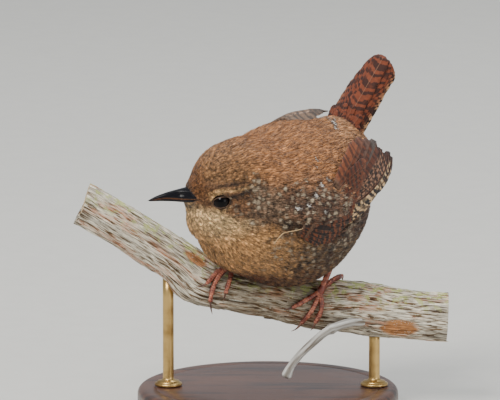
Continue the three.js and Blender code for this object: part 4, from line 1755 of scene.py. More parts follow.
@dataclass
class Plumage:
    """The skin and the soft coat over it.

    voxel is the skin's fineness and form_level where its first form lies, in millimetres outside the flesh.
    eye_rings holds radius and count of the feathers round each eye, bedding how much of the coat's depth their
    roots lie in, and crowding the share of its own square that a feather gets.
    """

    coat: Coat = COAT
    voxel: float = 0.55
    form_level: float = -0.8
    patch: float = 0.003
    seed: int = 11
    limit: int = 185000
    crowding: float = 0.29
    bedding: float = 0.85
    swing: float = 0.13
    eye_rings: tuple[tuple[float, int], ...] = ((2.5, 64), (2.75, 68), (3.05, 72))

    def skin(self) -> bpy.types.Mesh:
        """The skin: both fleshy masses in one closed mesh, deeper than the tips of the feathers.

        Returns:
            The mesh, with its colours and marks.
        """
        shells = []
        for centre in (HEAD.origin, TORSO.origin):
            ball = bpy.data.meshes.new("ball")
            shape = bmesh.new()
            bmesh.ops.create_icosphere(shape, subdivisions=5, radius=1.0)
            shape.to_mesh(ball)
            shape.free()
            directions = unit(read(ball.vertices, "co", np.float32).astype(float))
            corners = read(ball.loops, "vertex_index", np.int32, 1).reshape(-1, 3)
            shells.append(Surface(FLESH.leave(centre, directions, self.form_level), [corners]))
        carrier = placed("skin_form", Surface.joined(shells).mesh("skin_form"))
        remesh = carrier.modifiers.new("one_skin", "REMESH")
        remesh.mode = "VOXEL"
        remesh.voxel_size = self.voxel * MM
        made = taken_from(carrier)
        places = read(made.vertices, "co", np.float32).astype(float) / MM
        places, _ = FLESH.settle(places, -self.coat.sizes(places)[2], 3)
        places = self.dimpled(places)
        made.vertices.foreach_set("co", (places * MM).astype(np.float32).ravel())
        # The skin takes the coat's colours at half brightness: painted shade deep in the coat.
        ground = self.coat.markings.ground(places) * 0.5
        stored = {"plumage": ground, "marks": self.coat.markings.marks(places), "barb": np.zeros_like(ground)}
        for name, values in stored.items():
            store(made, name, values)
        made.polygons.foreach_set("use_smooth", np.ones(len(made.polygons), bool))
        made.update()
        return made

    def dimpled(self, places: Array) -> Array:
        """Sinks the skin behind the eyeballs.

        Args:
            places: The skin's points.

        Returns:
            The moved points.
        """
        for side in SIDES.values():
            high, flat, reach = from_eye(places, side)
            floor = np.sqrt(np.maximum(EYE_RADIUS**2 - reach**2, 0)) - 0.5
            share = (1 - smooth(reach, 2.25, 2.75)) * (high > 0)
            places = eye_centre(side) + flat + mix(high, np.minimum(high, floor), share) * eye_axis(side)
        return places

    def roots(self, rng: np.random.Generator) -> Array:
        """Places of the feathers' middles, thinned to the spacing that their size asks for.

        Args:
            rng: Source of the thinning.

        Returns:
            One place a row.
        """
        found = []
        sources = ((HEAD.origin, self.coat.head_roots, True), (TORSO.origin, self.coat.body_roots, False))
        for centre, count, for_head in sources:
            directions = even_directions(count)
            places = FLESH.leave(centre, directions)
            _, slope = FLESH.slope(places)
            facing = np.maximum(np.abs(np.sum(directions * unit(slope), 1)), 0.15)
            area = 4 * math.pi * np.sum((places - centre) ** 2, 1) / (count * facing)
            width = self.coat.sizes(places)[1]
            kept = ((on_head(places) < 0) == for_head) & (rng.random(count) < area / (self.crowding * width**2))
            found.append(places[kept])
        for side in SIDES.values():
            axis = eye_axis(side)
            first = unit(np.cross(axis, UP))
            second = np.cross(first, axis)
            for reach, count in self.eye_rings:
                turns = ring_turns(count)[:, None]
                ring = eye_centre(side) + axis * 2 + reach * (first * np.cos(turns) + second * np.sin(turns))
                found.append(FLESH.settle(ring, np.zeros(count), 3)[0])
        places = np.concatenate(found)
        return places[self.coat.clear_of(places)]

    def spines(
        self, roots: Array, lengths: Array, lifts: Array, stations: Sequence[float], rng: np.random.Generator
    ) -> tuple[Array, Array]:
        """Middle lines that follow the lie of the coat and rise from the skin to its surface.

        Args:
            roots: Where the feathers start.
            lengths: Length of each feather.
            lifts: How far each tip stands off the coat's surface.
            stations: Shares of the length to stop at.
            rng: Source of the small turns.

        Returns:
            Places and outward directions at each station.
        """
        bed = self.bedding * (self.coat.margin(roots) - self.coat.sizes(roots)[2])
        swing = rng.normal(0, self.swing, len(roots))[:, None]
        place, normal = FLESH.settle(roots, bed, 2)
        places, normals = [place], [normal]
        for before, after in zip(stations, stations[1:]):
            flow = self.coat.lie(place, normal)
            flow = unit(flow * np.cos(swing) + np.cross(normal, flow) * np.sin(swing))
            ahead = place + flow * (lengths * (after - before))[:, None]
            level = mix(bed, lifts + self.coat.margin(ahead), after**0.7)
            place, normal = FLESH.settle(ahead, level, 2)
            places.append(place)
            normals.append(normal)
        return np.stack(places, 1), np.stack(normals, 1)

    def colours(self, spines: Array, walk: Array, chance: Array) -> Array:
        """Colours of many feathers along their middle lines.

        Args:
            spines: The lines.
            walk: Shares of the length along them.
            chance: Random numbers for each feather.

        Returns:
            A colour for each place of each line.
        """
        marks = self.coat.markings
        count, rows = spines.shape[:2]
        tips = spines[:, -1]
        own = marks.ground(spines.reshape(-1, 3)).reshape(count, rows, 3)
        color = mix(own[:, -1:], own, marks.headness(tips)[:, None, None])
        color = color * np.exp(chance[:, 0] - 0.5)[:, None, None]
        bars = marks.bars(spines + 0.5 * (chance[:, None, 1:2] - 0.5))
        barred = marks.barred(tips)[:, None]
        color = tinted(color, Tone.BUFF.light, 0.4 * barred * smooth(bars, -0.1, -0.7))
        color = tinted(color, Tone.DARK.light, 0.85 * barred * smooth(bars, 0.0, 0.5))
        scalloped = marks.marks(tips)[:, 1, None]
        shade = mix(1.0, mix(0.42, 1.4, smooth(walk, 0.5, 1.0))[None], scalloped)
        # Each feather darkens towards its root, down to 0.4 of its colour: painted shade deep in the coat.
        return color * (shade * mix(0.4, 1.0, smooth(walk, 0.1, 0.6))[None])[..., None]

    def tufts(self, roots: Array, kind: Tuft, rng: np.random.Generator) -> tuple[Array, ...]:
        """Builds the feathers at some roots.

        Args:
            roots: Where they start.
            kind: What they are like.
            rng: Source of their differences.

        Returns:
            Points, colours, marks, barb values and places round the root on the unwrap, by feather, barb and point.
        """
        count, walk = len(roots), np.array(kind.walk)
        length, width, depth = self.coat.sizes(roots)
        length = length * rng.uniform(0.8, 1.2, count)
        width = width * rng.uniform(0.85, 1.2, count)
        lifts = depth * rng.uniform(-0.02, 0.2, count)
        spines, normals = self.spines(roots, length, lifts, kind.walk, rng)
        points = kind.points(spines, normals, width, rng)
        chance = rng.random((count, 3))
        color = kind.spread(self.colours(spines, walk, chance))
        marks = self.coat.markings.marks(spines[:, -1])[:, None, None] + 0 * color
        rings = len(kind.widths)
        aside = np.r_[np.tile([-1.0, 1.0, 0.0], rings), 0.0]
        share = kind.spread(np.broadcast_to(walk[None, :, None], (count, len(walk), 1)))[..., 0]
        pick = rng.random((count, len(kind.fan), 1)) + 0 * share
        barb = np.stack([aside + 0 * share, length[:, None, None] * share, pick], -1)
        fan = np.array(kind.fan)[None, :, None] + 0.3 * aside
        patch = self.patch * np.stack([0.38 * fan + 0 * share, share - 0.5], -1)
        return points, color, marks, barb, patch

    def pieces(self) -> dict[str, Surface]:
        """The coat, split where a piece would grow too large.

        Returns:
            The surfaces by name.
        """
        rng = np.random.default_rng(self.seed)
        roots = self.roots(rng)
        near = on_head(roots) < 0
        made = {}
        for name, chosen, axes, kind in (("head", near, HEAD, HEAD_TUFT), ("body", ~near, TORSO, BODY_TUFT)):
            group = roots[chosen]
            group = group[np.argsort(axes.into(group)[:, 0])]
            parts = math.ceil(len(group) * kind.triangles() / self.limit)
            for index, some in enumerate(np.array_split(group, parts)):
                points, color, marks, barb, patch = self.tufts(some, kind, rng)
                ahead, left, up = unit(axes.into(some)).T
                unwrap = np.stack([np.arctan2(left, up) / FULL_TURN + 0.5, ahead / 2 + 0.5], -1)
                low, high = unwrap.min(0), unwrap.max(0)
                unwrap = 0.01 + 0.98 * (unwrap - low) / (high - low)
                bake = np.clip(unwrap[:, None, None] + patch, 0, 1).reshape(-1, 2)
                values = {"plumage": color, "marks": marks, "barb": barb}
                values = {key: triples.reshape(-1, 3) for key, triples in values.items()}
                faces = kind.faces(len(some) * len(kind.fan))
                made[f"coat_{name}_{index + 1}"] = Surface(points.reshape(-1, 3), faces, values, bake)
        return made

    def build(self, finish: Material) -> None:
        """Adds skin and coat.

        Args:
            finish: The plumage's material.
        """
        piece("skin", self.skin(), finish, ("head", "torso"))
        for name, surface in self.pieces().items():
            piece(name, surface, finish)


# Firm feathers of wing and tail

COLUMNS = np.array([-1, -0.74, -0.42, -0.12, -0.04, 0.04, 0.12, 0.42, 0.74, 1])
BAR_PERIOD = 2.6
TIP_STRAY = 0.22


@dataclass(frozen=True)
class Vane:
    """One firm feather on a curved sheet.

    root and tip are places on the sheet. The outer web lies on the right of the way from root to tip where outer is 1,
    and on the left where it is -1. ground and mark colour the outer web, and inner the inner one. dive is how far the
    root lies below the rest.
    """

    root: Pair
    tip: Pair
    width: float
    lift: float
    rise: float = 0.0
    bend: float = 0.0
    shaft: float = 0.5
    outer: int = 1
    dive: float = 0.0
    taper: float = 0.76
    ground: Array = field(default_factory=lambda: Tone.BACK.light)
    mark: Array = field(default_factory=lambda: Tone.DARK.light)
    inner: Array = field(default_factory=lambda: Tone.MANTLE.light)
    end: Array | None = None
    period: float = BAR_PERIOD
    chance: float = 0.0
    dark: float = 0.48
    inner_bars: float = 1.0
    thick: float = 0.24


def vane_surface(
    sheet: Callable[..., Array], vane: Vane, strip: Pair, stations: int = 26
) -> Surface:
    """Builds one firm feather.

    Args:
        sheet: Gives frame places for places on the sheet and lifts off it.
        vane: The feather.
        strip: Its left and right edge on the piece's unwrap.
        stations: Points along it.

    Returns:
        A closed thin blade with a raised shaft.
    """
    share = np.linspace(0, 1, stations)
    rng = np.random.default_rng(int(1e4 * abs(vane.chance)) + 5)
    tip = np.add(vane.tip, rng.normal(0, TIP_STRAY, 2))
    (df, du), length = tip - vane.root, math.dist(tip, vane.root)
    ef, eu = -du / length, df / length
    bow = 4 * vane.bend * share * (1 - share)
    over = np.clip((share - vane.taper) / (1 - vane.taper), 0, 1)
    profile = mix(0.5, 1, smooth(share, 0, 0.35)) * np.sqrt(1 - 0.985 * over**2.3)
    outer, inner = vane.width * vane.shaft, vane.width * (1 - vane.shaft)
    is_outer = COLUMNS * vane.outer > 0
    reach = np.where(is_outer, outer, inner)
    shift = vane.outer * (inner - outer) / 2
    edge = np.ones((stations, len(COLUMNS)))
    edge[:, [0, -1]] += 0.05 * rng.normal(size=(stations, 2))
    for column in (0, -1):
        for notch in rng.integers(stations // 3, stations - 3, 2):
            edge[notch, column] -= 0.14
    aside = shift * profile[:, None] + reach * COLUMNS * profile[:, None] * edge
    slant = 0.3 * np.abs(reach * COLUMNS) * smooth(share, 0.1, 0.5)[:, None] * (1 - 0.8 * over[:, None])
    forward = vane.root[0] + df * share[:, None] + ef * (bow[:, None] + aside) + df / length * slant
    upward = vane.root[1] + du * share[:, None] + eu * (bow[:, None] + aside) + du / length * slant
    height = vane.lift + vane.rise * smooth(share, 0, 0.6)[:, None] - 0.12 * reach * COLUMNS**2
    height = height - vane.dive * (1 - smooth(share, 0, 0.7))[:, None]
    height = height + np.where(np.abs(COLUMNS) < 0.08, 0.07, 0.0) + 0.03 * rng.normal(size=(stations, 1))
    thick = vane.thick * (1 - 0.55 * np.abs(COLUMNS)) * mix(1, 0.5, share)[:, None]
    top, bottom = sheet(forward, upward, height + thick), sheet(forward, upward, height)
    count = len(COLUMNS)
    upper = grid_faces(stations, count)
    lower = grid_faces(stations, count, stations * count)[:, ::-1]
    border = np.r_[
        np.arange(count - 1),
        np.arange(stations - 1) * count + count - 1,
        (stations - 1) * count + np.arange(count - 1, 0, -1),
        np.arange(stations - 1, 0, -1) * count,
    ]
    beside = np.roll(border, -1)
    rim = np.stack([beside, border, border + stations * count, beside + stations * count], -1)
    web = np.stack([COLUMNS + 0 * aside, length * share[:, None] + 0 * aside, vane.chance + 0 * aside], -1)
    base = smooth(share, 0.0, 0.14)[:, None, None]
    ground = np.where(is_outer[None, :, None], vane.ground, vane.inner) * np.ones((stations, 1, 1))
    ground = mix(Tone.MANTLE.light * 0.6, ground, base)
    strength = np.where(is_outer, 1.0, vane.inner_bars)[None, :, None]
    mark = mix(ground * 0.8, mix(ground * 0.8, vane.mark, strength), base)
    if vane.end is not None:
        at_end = (smooth(share, 0.86, 0.96)[:, None] * smooth(-np.abs(COLUMNS), -1.3, -0.5))[..., None]
        ground, mark = mix(ground, vane.end, at_end), mix(mark, vane.end, at_end)
    web[..., 1] *= BAR_PERIOD / vane.period
    left, right = strip
    across = (COLUMNS + 1) / 4 * (right - left)
    up_share = 0.01 + 0.98 * share[:, None] + 0 * aside
    bake = [np.stack([start + across + 0 * aside, up_share], -1) for start in (left, (left + right) / 2)]
    bars = np.broadcast_to([1 - 2 * vane.dark, 0, 0], web.shape)
    values = {"web": web, "ground": ground, "mark": mark, "bars": bars}
    doubled = {name: np.concatenate([value.reshape(-1, 3)] * 2) for name, value in values.items()}
    points = np.concatenate([top.reshape(-1, 3), bottom.reshape(-1, 3)])
    uv = np.concatenate([part.reshape(-1, 2) for part in bake])
    return Surface(points, [np.concatenate([upper, lower, rim])], doubled, uv).outward()


def tier(count: int, shape: Callable[[float, int], Vane]) -> list[Vane]:
    """Feathers side by side, from the shares 0 to 1."""
    return [shape(index / (count - 1), index) for index in range(count)]


def row(start: Sequence[float], end: Sequence[float], share: float) -> Pair:
    """A place on the straight line between two places of a sheet."""
    return (float(mix(start[0], end[0], share)), float(mix(start[1], end[1], share)))


def joined_vanes(sheet: Callable[..., Array], vanes: Sequence[Vane]) -> Surface:
    """One surface of many feathers, each with its own strip of the unwrap.

    Args:
        sheet: Gives frame places for places on the sheet and lifts off it.
        vanes: The feathers.

    Returns:
        The surface.
    """
    count = len(vanes)
    strips = [(0.01 + 0.98 * index / count, 0.01 + 0.98 * (index + 0.94) / count) for index in range(count)]
    return Surface.joined([vane_surface(sheet, vane, strip) for vane, strip in zip(vanes, strips)])


@dataclass
class Wing:
    """One folded wing, its feathers stacked on a shallow ellipsoid beside the body.

    tips holds the primaries' tips from the outermost in, and back how high the far wing's crest stands over the
    back at distances backwards.
    """

    side: int
    half: Triple = (46.0, 21.5, 27.5)
    ahead: float = 5.0
    tips: Rows = ((-13, 1.8), (-18.6, 5.8), (-23.6, 9.8), (-27.8, 13), (-28.6, 13.8), (-26.8, 14.6))
    far: bool = False
    back: Rows = ((-2, -0.2), (3.3, 1.35), (7.9, 2.85), (13, 3.85), (20, 3.9))
    cream: Array = tint(220, 184, 136)
    black: Array = tint(24, 16, 14)
    rust: Array = tint(94, 45, 23)
    buff: Array = tint(160, 116, 88)
    orange: Array = tint(116, 62, 34)
    slate: Array = tint(74, 64, 58)
    # pale_grey is partly the crest's own grey and partly painted light on its lit upper face.
    pale_grey: Array = tint(150, 122, 100)
    dark: Array = tint(44, 25, 17)

    def sheet(self, forward: Array, upward: Array, lift: Array) -> Array:
        """Frame places of places on the wing's sheet.

        Args:
            forward: Places along the body's axis.
            upward: Places up it.
            lift: Distances off the sheet.

        Returns:
            The frame places.
        """
        a, b, c = self.half
        x, z = (forward - self.ahead) / a, upward / c
        y = np.sqrt(np.maximum(1 - x * x - z * z, 0.02))
        normal = unit(np.stack([x / a, y / b, z / c], -1))
        at = np.stack([forward, y * b, upward], -1) + normal * lift[..., None]
        return TORSO.out(at * (1, self.side, 1))

    def tip_at(self, share: float) -> Pair:
        """The tip of a primary.

        Args:
            share: From 0 at the outermost to 1 at the innermost.

        Returns:
            Its place on the sheet.
        """
        at = share * (len(self.tips) - 1)
        index = min(int(at), len(self.tips) - 2)
        return row(self.tips[index], self.tips[index + 1], at - index)

    def flight(self) -> list[Vane]:
        """Primaries, secondaries and tertials.

        Returns:
            The feathers.
        """
        primaries = tier(
            9,
            lambda s, index: Vane(
                row((6.5, -2.4), (-1.5, 4), s), self.tip_at(s), mix(3.4, 4.4, s), mix(0, 1.1, s),
                bend=mix(0.8, 1.8, s), shaft=0.34, taper=0.6, ground=self.cream, mark=self.black,
                inner=self.rust * 0.45, inner_bars=0.3, period=2.5,
                chance=0.13 * index + 0.1 * math.sin(5 * index), dark=0.7,
            ),
        )
        secondaries = tier(
            9,
            lambda s, index: Vane(
                row((1, 3.5), (-1.4, 9.6), s), row((-26, 14), (-17.6, 18.8), s), 4.2, mix(1.1, 1.9, s),
                bend=1.2, shaft=0.4, ground=mix(self.buff, self.rust, smooth(s, 0.45, 1.0)), mark=self.black,
                inner=self.rust * 0.5, inner_bars=0.4, period=1.9, chance=0.23 * index, dark=mix(0.5, 0.58, s),
            ),
        )
        tertials = tier(
            4,
            lambda s, index: Vane(
                row((-1, 7.4), (0, 11), s), row((-20.5, 18.4), (-11.5, 19.6), s), 4.8,
                mix(2, 2.4, s) - 1.2 * self.far, dive=1.4 * self.far, ground=mix(self.rust, self.orange, 0.5 * s),
                mark=mix(self.dark, self.rust, 0.3), inner=mix(self.slate, self.orange, s),
                inner_bars=0.25 + 0.6 * s, period=1.9, chance=0.31 * index, dark=0.5,
            ),
        )
        return primaries + secondaries + tertials

    def coverts(self) -> list[Vane]:
        """The short feathers that cover the flight feathers' roots, row over row.

        Returns:
            The feathers.
        """
        primary = tier(
            8,
            lambda s, index: Vane(
                row((9.6, -2.6), (8, 0.6), s), row((-0.4, -4.9), (-6.4, 0.6), s), 2.4, mix(0.9, 1.7, s), 0.5,
                shaft=0.45, taper=0.65, ground=self.orange, mark=self.black, inner=self.orange * 0.7, period=2.0,
                chance=0.29 * index, dark=0.56,
            ),
        )
        greater = tier(
            9,
            lambda s, index: Vane(
                row((6.4, 1.2), (0.4, 10.4), s), row((-6, 3.4), (-12.6, 15.4), s), 3.1, 1.5, 1 + 0.3 * s, shaft=0.45,
                ground=mix(self.orange, self.rust, 0.5), mark=self.dark, inner=self.rust * 0.8, period=1.6,
                chance=0.37 * index, dark=0.42, end=self.orange,
            ),
        )
        alula = tier(
            4,
            lambda s, index: Vane(
                row((11.4, -1.4), (10.6, 0.4), s), row((4.6, -4.9), (2.0, -1.2), s), 2.1, mix(1.3, 1.9, s), 0.4,
                shaft=0.4, dive=1.2, ground=self.orange * 0.9, mark=self.black, inner=self.dark, period=1.9,
                chance=0.23 * index, dark=0.55,
            ),
        )
        plume = Vane(
            (11.4, 0.6), (17.6, -5.4), 0.32, 2.2, -4.6, bend=0.5, taper=0.3, ground=self.cream, mark=self.cream,
            inner=self.cream, thick=0.12,
        )
        return primary + greater + alula + [plume] * (not self.far)

    def over_back(self, forward: Array, aside: Array, lift: Array) -> Array:
        """Frame places over the back, on a slope that rises towards the wing.

        Args:
            forward: Places along the body's axis.
            aside: Places towards the wing.
            lift: Distances off the slope.

        Returns:
            The frame places.
        """
        rise = np.interp(-forward, *np.array(self.back).T)
        above = TORSO.out(np.stack([forward, self.side * aside, 24 + 0 * forward], -1))
        return FLESH.settle(above, lift + rise * smooth(aside, 5.5, 10), 3)[0]

    def crest(self) -> list[Vane]:
        """The innermost feathers, whose upper face shows over the back.

        Their pale grey is partly their own colour and partly painted light on that lit face.

        Returns:
            The feathers.
        """
        return tier(
            6,
            lambda s, index: Vane(
                row((2, 12), (-2, 7.4), s), row((-19.8, 10.4), (-13.5, 8.2), s), 3.3, mix(-0.5, -0.1, s), shaft=0.4,
                outer=-1, ground=self.pale_grey, mark=self.slate, inner=self.pale_grey * 0.6, period=2.2,
                chance=0.27 * index, dark=0.42, end=self.slate,
            ),
        )

    def build(self, finish: Material) -> None:
        """Adds the wing.

        Args:
            finish: The feathers' material.
        """
        name = name_of(self.side)
        surface = joined_vanes(self.sheet, self.flight() + self.coverts())
        piece(f"wing_feathers_{name}", surface, finish, (f"wing_{name}",))
        if self.far:
            piece(f"wing_crest_{name}", joined_vanes(self.over_back, self.crest()), finish)


@dataclass
class Tail:
    """The cocked tail, its feathers stacked like a shallow roof.

    halves holds for each side, left first: its sign, how far out its outermost root and tip lie, how much shorter
    that feather is, how it bends, how pale it is and how far the half lies below the other.
    """

    root: Triple = (-14.9, 0.0, 14.5)
    rise: float = math.radians(60)
    twist: float = math.radians(22)
    length: float = 30.0
    width: float = 15.4
    drop: float = 2.2
    count: int = 6
    halves: Rows = ((1, 4.0, 3.9, 2.4, -0.7, 0.85, 0), (-1, 4.3, 3.5, 5.0, -1.3, 0.2, 0.18))
    rusty: Array = tint(118, 58, 34)
    dark: Array = tint(58, 28, 20)
    cream: Array = tint(196, 150, 108)
    black: Array = tint(36, 22, 18)

    def sheet(self, along: Array, across: Array, lift: Array) -> Array:
        """Frame places of places on the tail's sheet.

        Args:
            along: Places from the tail's root on.
            across: Places towards its left.
            lift: Distances off the sheet.

        Returns:
            The frame places.
        """
        forth = TORSO.turn([-math.cos(self.rise), 0, math.sin(self.rise)])
        flat = TORSO.turn([0, 1, 0])
        cos, sin = math.cos(self.twist), math.sin(self.twist)
        wide = flat * cos + np.cross(forth, flat) * sin + forth * (forth @ flat) * (1 - cos)
        over = np.cross(wide, forth)
        high = lift - self.drop * (across / (self.width / 2)) ** 2
        local = np.stack([along, across, high], -1)
        return local @ np.array([forth, wide, over]) + TORSO.out(self.root)

    def vanes(self) -> list[Vane]:
        """Tail feathers and their coverts above and below.

        Returns:
            The feathers.
        """
        made = []
        for side, root, tip, shorter, bend, paleness, below in self.halves:
            made += tier(
                self.count,
                lambda s, index: Vane(
                    (1, side * mix(0.2, root, s)), (self.length + 0.6 - shorter * s * s, side * mix(0.5, tip, s)),
                    mix(5, 4.4, s), -2.1 * s - below, bend=bend * s, shaft=0.5 - 0.16 * s, outer=side, taper=0.84,
                    ground=mix(self.rusty, self.cream, smooth(s, 0.7, 1.0) * paleness), inner=self.rusty,
                    mark=mix(self.dark, self.black, smooth(s, 0.7, 1.0) * paleness), period=mix(2.8, 2.4, s),
                    chance=0.07 * math.sin(7 * index + side),
                ),
            )
        upper = tier(
            11,
            lambda s, index: Vane(
                (1.5, mix(-3.4, 2.6, s)), (14 - 9 * (s - 0.5) ** 2 - 2.2 * (index % 3), mix(-5.6, 4.4, s)),
                2.7, 0.2, 0.4, ground=self.rusty, mark=self.dark, inner=self.rusty * 0.9, period=3.0,
                chance=0.23 * index,
            ),
        )
        under = tier(
            7,
            lambda s, index: Vane(
                (1.5, mix(-1.6, 1.6, s)), (13.5 - 2 * (index % 2), mix(-3.4, 3.4, s)), 3.0, -2.7, -0.4,
                ground=Tone.BUFF.light * 0.8, mark=self.dark, inner=Tone.BUFF.light * 0.8,
                end=Tone.PALE.light, chance=0.2 * index,
            ),
        )
        return made + upper + under

    def build(self, finish: Material) -> None:
        """Adds the tail."""
        piece("tail_feathers", joined_vanes(self.sheet, self.vanes()), finish, ("tail",))


# Head's details


@dataclass
class Bill:
    """Two slim mandibles, bent down a little, with a nostril on each side.

    culmen, mouth, gonys and half hold heights and half widths at distances ahead, and gap half the mouth's gap.
    """

    start: float = 7.4
    tip: float = 23.1
    culmen: Rows = ((7.4, 1.7), (9, 1.6), (13, 0.95), (18.5, -0.4), (21.5, -1.5), (23.1, -2.35))
    mouth: Rows = ((7.4, -1.9), (9, -1.75), (13, -1.95), (18.5, -1.65), (23.1, -2.4))
    gonys: Rows = ((7.4, -3.6), (9, -3.4), (13, -2.95), (18.5, -2.5), (23.1, -2.45))
    half: Rows = ((7.4, 4.0), (9.8, 4.25), (10.8, 3.8), (12, 2.8), (13.4, 1.8), (18.5, 0.95), (23.1, 0.22))
    nostril: Pair = (13.6, -0.55)
    gap: float = 0.05
    stations: int = 56
    sides: int = 40

    def mandible(self, upper: bool) -> Surface:
        """One mandible.

        Args:
            upper: Whether it is the upper one.

        Returns:
            Its closed surface, with its own coordinates as horn.
        """
        share = np.linspace(0, 1, self.stations)
        ahead = mix(self.start, self.tip if upper else self.tip - 0.5, 1 - (1 - share) ** 1.25)
        edge = curve(self.mouth, ahead)
        ridge = curve(self.culmen if upper else self.gonys, ahead)
        half = curve(self.half, ahead) * (1.0 if upper else 0.9)
        turn = ring_turns(self.sides)
        cos, sin = np.cos(turn), np.sin(turn)
        outer = np.maximum(sin, 0) ** (0.85 if upper else 0.7)
        inner = -0.05 * np.maximum(-sin, 0)
        wide = half[:, None] * np.sign(cos) * np.abs(cos) ** 0.8
        clear = self.gap if upper else -self.gap
        high = edge[:, None] + clear + (ridge - edge)[:, None] * (outer + inner)
        if upper:
            near, level = self.nostril
            pit = bump_at(ahead[:, None], near, 1.15) * bump_at(high, level, 0.34)
            groove = 0.4 * bump_at(ahead[:, None], near - 0.8, 2.2) * bump_at(high, level + 0.1, 0.5)
            wide = wide * (1 - (0.3 * pit + 0.22 * groove) * (sin > 0.02))
        local = np.stack([ahead[:, None] + 0 * wide, wide, high], -1)
        horn = np.stack([ahead[:, None] + 0 * wide, high - edge[:, None], wide], -1)
        return ring_tube(HEAD.out(local), {"horn": horn})

    def build(self, finish: Material) -> None:
        """Adds both mandibles."""
        piece("mandible_upper", self.mandible(True), finish, ("bill_upper",))
        piece("mandible_lower", self.mandible(False), finish, ("bill_lower",))


@dataclass
class Eye:
    """One eye with its lids.

    opening is the lids' half width and height, droop how far they slant, and rim the half thickness of their
    edge outwards and upwards.
    """

    side: int
    ball: float = EYE_RADIUS
    opening: Pair = (2.34, 1.7)
    flat_top: float = 0.78
    droop: float = 0.12
    rim: Pair = (0.15, 0.12)
    creases: int = 34
    sides: int = 14

    def basis(self) -> tuple[Array, Array, Array]:
        """Outward, forward and upward directions of the eye.

        Returns:
            The three directions.
        """
        axis = eye_axis(self.side)
        ahead = unit(HEAD.rows[0] - (HEAD.rows[0] @ axis) * axis)
        over = unit(UP - (UP @ axis) * axis - (UP @ ahead) * ahead)
        return axis, ahead, over

    def eyeball(self) -> Surface:
        """The wet ball, with the distance from its middle and the turn as iris.

        Returns:
            Its closed surface.
        """
        axis, ahead, over = self.basis()
        polar = np.linspace(0.03, math.pi - 0.03, 48)
        turn = ring_turns(72)
        flat = ahead * np.cos(turn)[:, None] + over * np.sin(turn)[:, None]
        reach = self.ball * (1 + 0.035 * bump_at(polar, 0, 0.5))
        rings = (np.cos(polar) * reach)[:, None, None] * axis + (np.sin(polar) * reach)[:, None, None] * flat[None]
        off = (np.sin(polar) * self.ball)[:, None] + 0 * turn
        iris = np.stack([off, turn + 0 * off, 0 * off], -1)
        return ring_tube(rings + eye_centre(self.side), {"iris": iris})

    def lids(self) -> Surface:
        """The rim of bare skin, flat on top, with the distance from the ball as rim.

        Returns:
            Their closed surface.
        """
        axis, ahead, over = self.basis()
        turn, angles = ring_turns(96), ring_turns(self.sides)
        wide, high = self.opening
        x = wide * np.sign(np.cos(turn)) * np.abs(np.cos(turn)) ** 0.9
        y = np.where(np.sin(turn) > 0, self.flat_top, 1.0) * high
        y = y * np.sign(np.sin(turn)) * np.abs(np.sin(turn)) ** 0.85 - self.droop * x
        reach = np.hypot(x, y)
        rise = np.sqrt(self.ball**2 - reach**2)
        radial = unit(ahead * x[:, None] + over * y[:, None])
        rings = []
        for angle in angles:
            out = 0.1 + self.rim[0] * math.cos(angle)
            up = self.rim[1] * math.sin(angle) + 0.025 * np.sin(self.creases * turn)
            high = axis * (rise + up - 0.35 * out)[:, None]
            rings.append(eye_centre(self.side) + radial * (reach + out)[:, None] + high)
        grid = np.stack(rings, 1)
        faces = grid_faces(len(turn) + 1, self.sides, wrap=True) % (len(turn) * self.sides)
        bare = np.broadcast_to(0.5 - 0.5 * np.cos(angles), grid.shape[:2])
        rim = np.stack([bare, turn[:, None] + 0 * angles, 0 * bare], -1)
        return Surface(grid.reshape(-1, 3), [faces], {"rim": rim.reshape(-1, 3)}).outward()

    def build(self, wet: Material, bare: Material) -> None:
        """Adds the eye and its lids.

        Args:
            wet: The eye's material.
            bare: The lids' material.
        """
        name = name_of(self.side)
        piece(f"eyeball_{name}", self.eyeball(), wet, (f"eye_{name}",))
        piece(f"lids_{name}", self.lids(), bare)


# Perch, legs and stand

# Place along the perch, height of its middle line and radius
PERCH = (
    (-53.4, 60.9, 6.5), (-37.1, 51.0, 6.4), (-27.0, 44.2, 6.6), (-19.7, 38.4, 7.4), (-11.0, 35.9, 7.0),
    (1.2, 33.7, 7.0), (15.1, 31.1, 7.5), (24.9, 30.3, 7.9), (35.4, 28.9, 7.6), (44.1, 28.1, 7.3), (52.2, 27.4, 7.4),
)


def on_perch(x: Array, turn: Array, lift: Array) -> Array:
    """Places round the perch.

    Args:
        x: Places along it.
        turn: Turns from its top towards the viewer, in radians.
        lift: Heights over the bark.

    Returns:
        Frame places.
    """
    x, turn, lift = np.broadcast_arrays(np.asarray(x, float), turn, lift)
    z, radius = np.moveaxis(curve(PERCH, x), -1, 0)
    slope = (curve(PERCH, x + 0.2)[..., 0] - curve(PERCH, x - 0.2)[..., 0]) / 0.4
    top = unit(np.stack([-slope, 0 * x, 1 + 0 * x], -1))
    reach = (radius + lift)[..., None]
    near = np.array([0.0, -1.0, 0.0])
    return np.stack([x, 0 * x, z], -1) + top * reach * np.cos(turn)[..., None] + near * reach * np.sin(turn)[..., None]


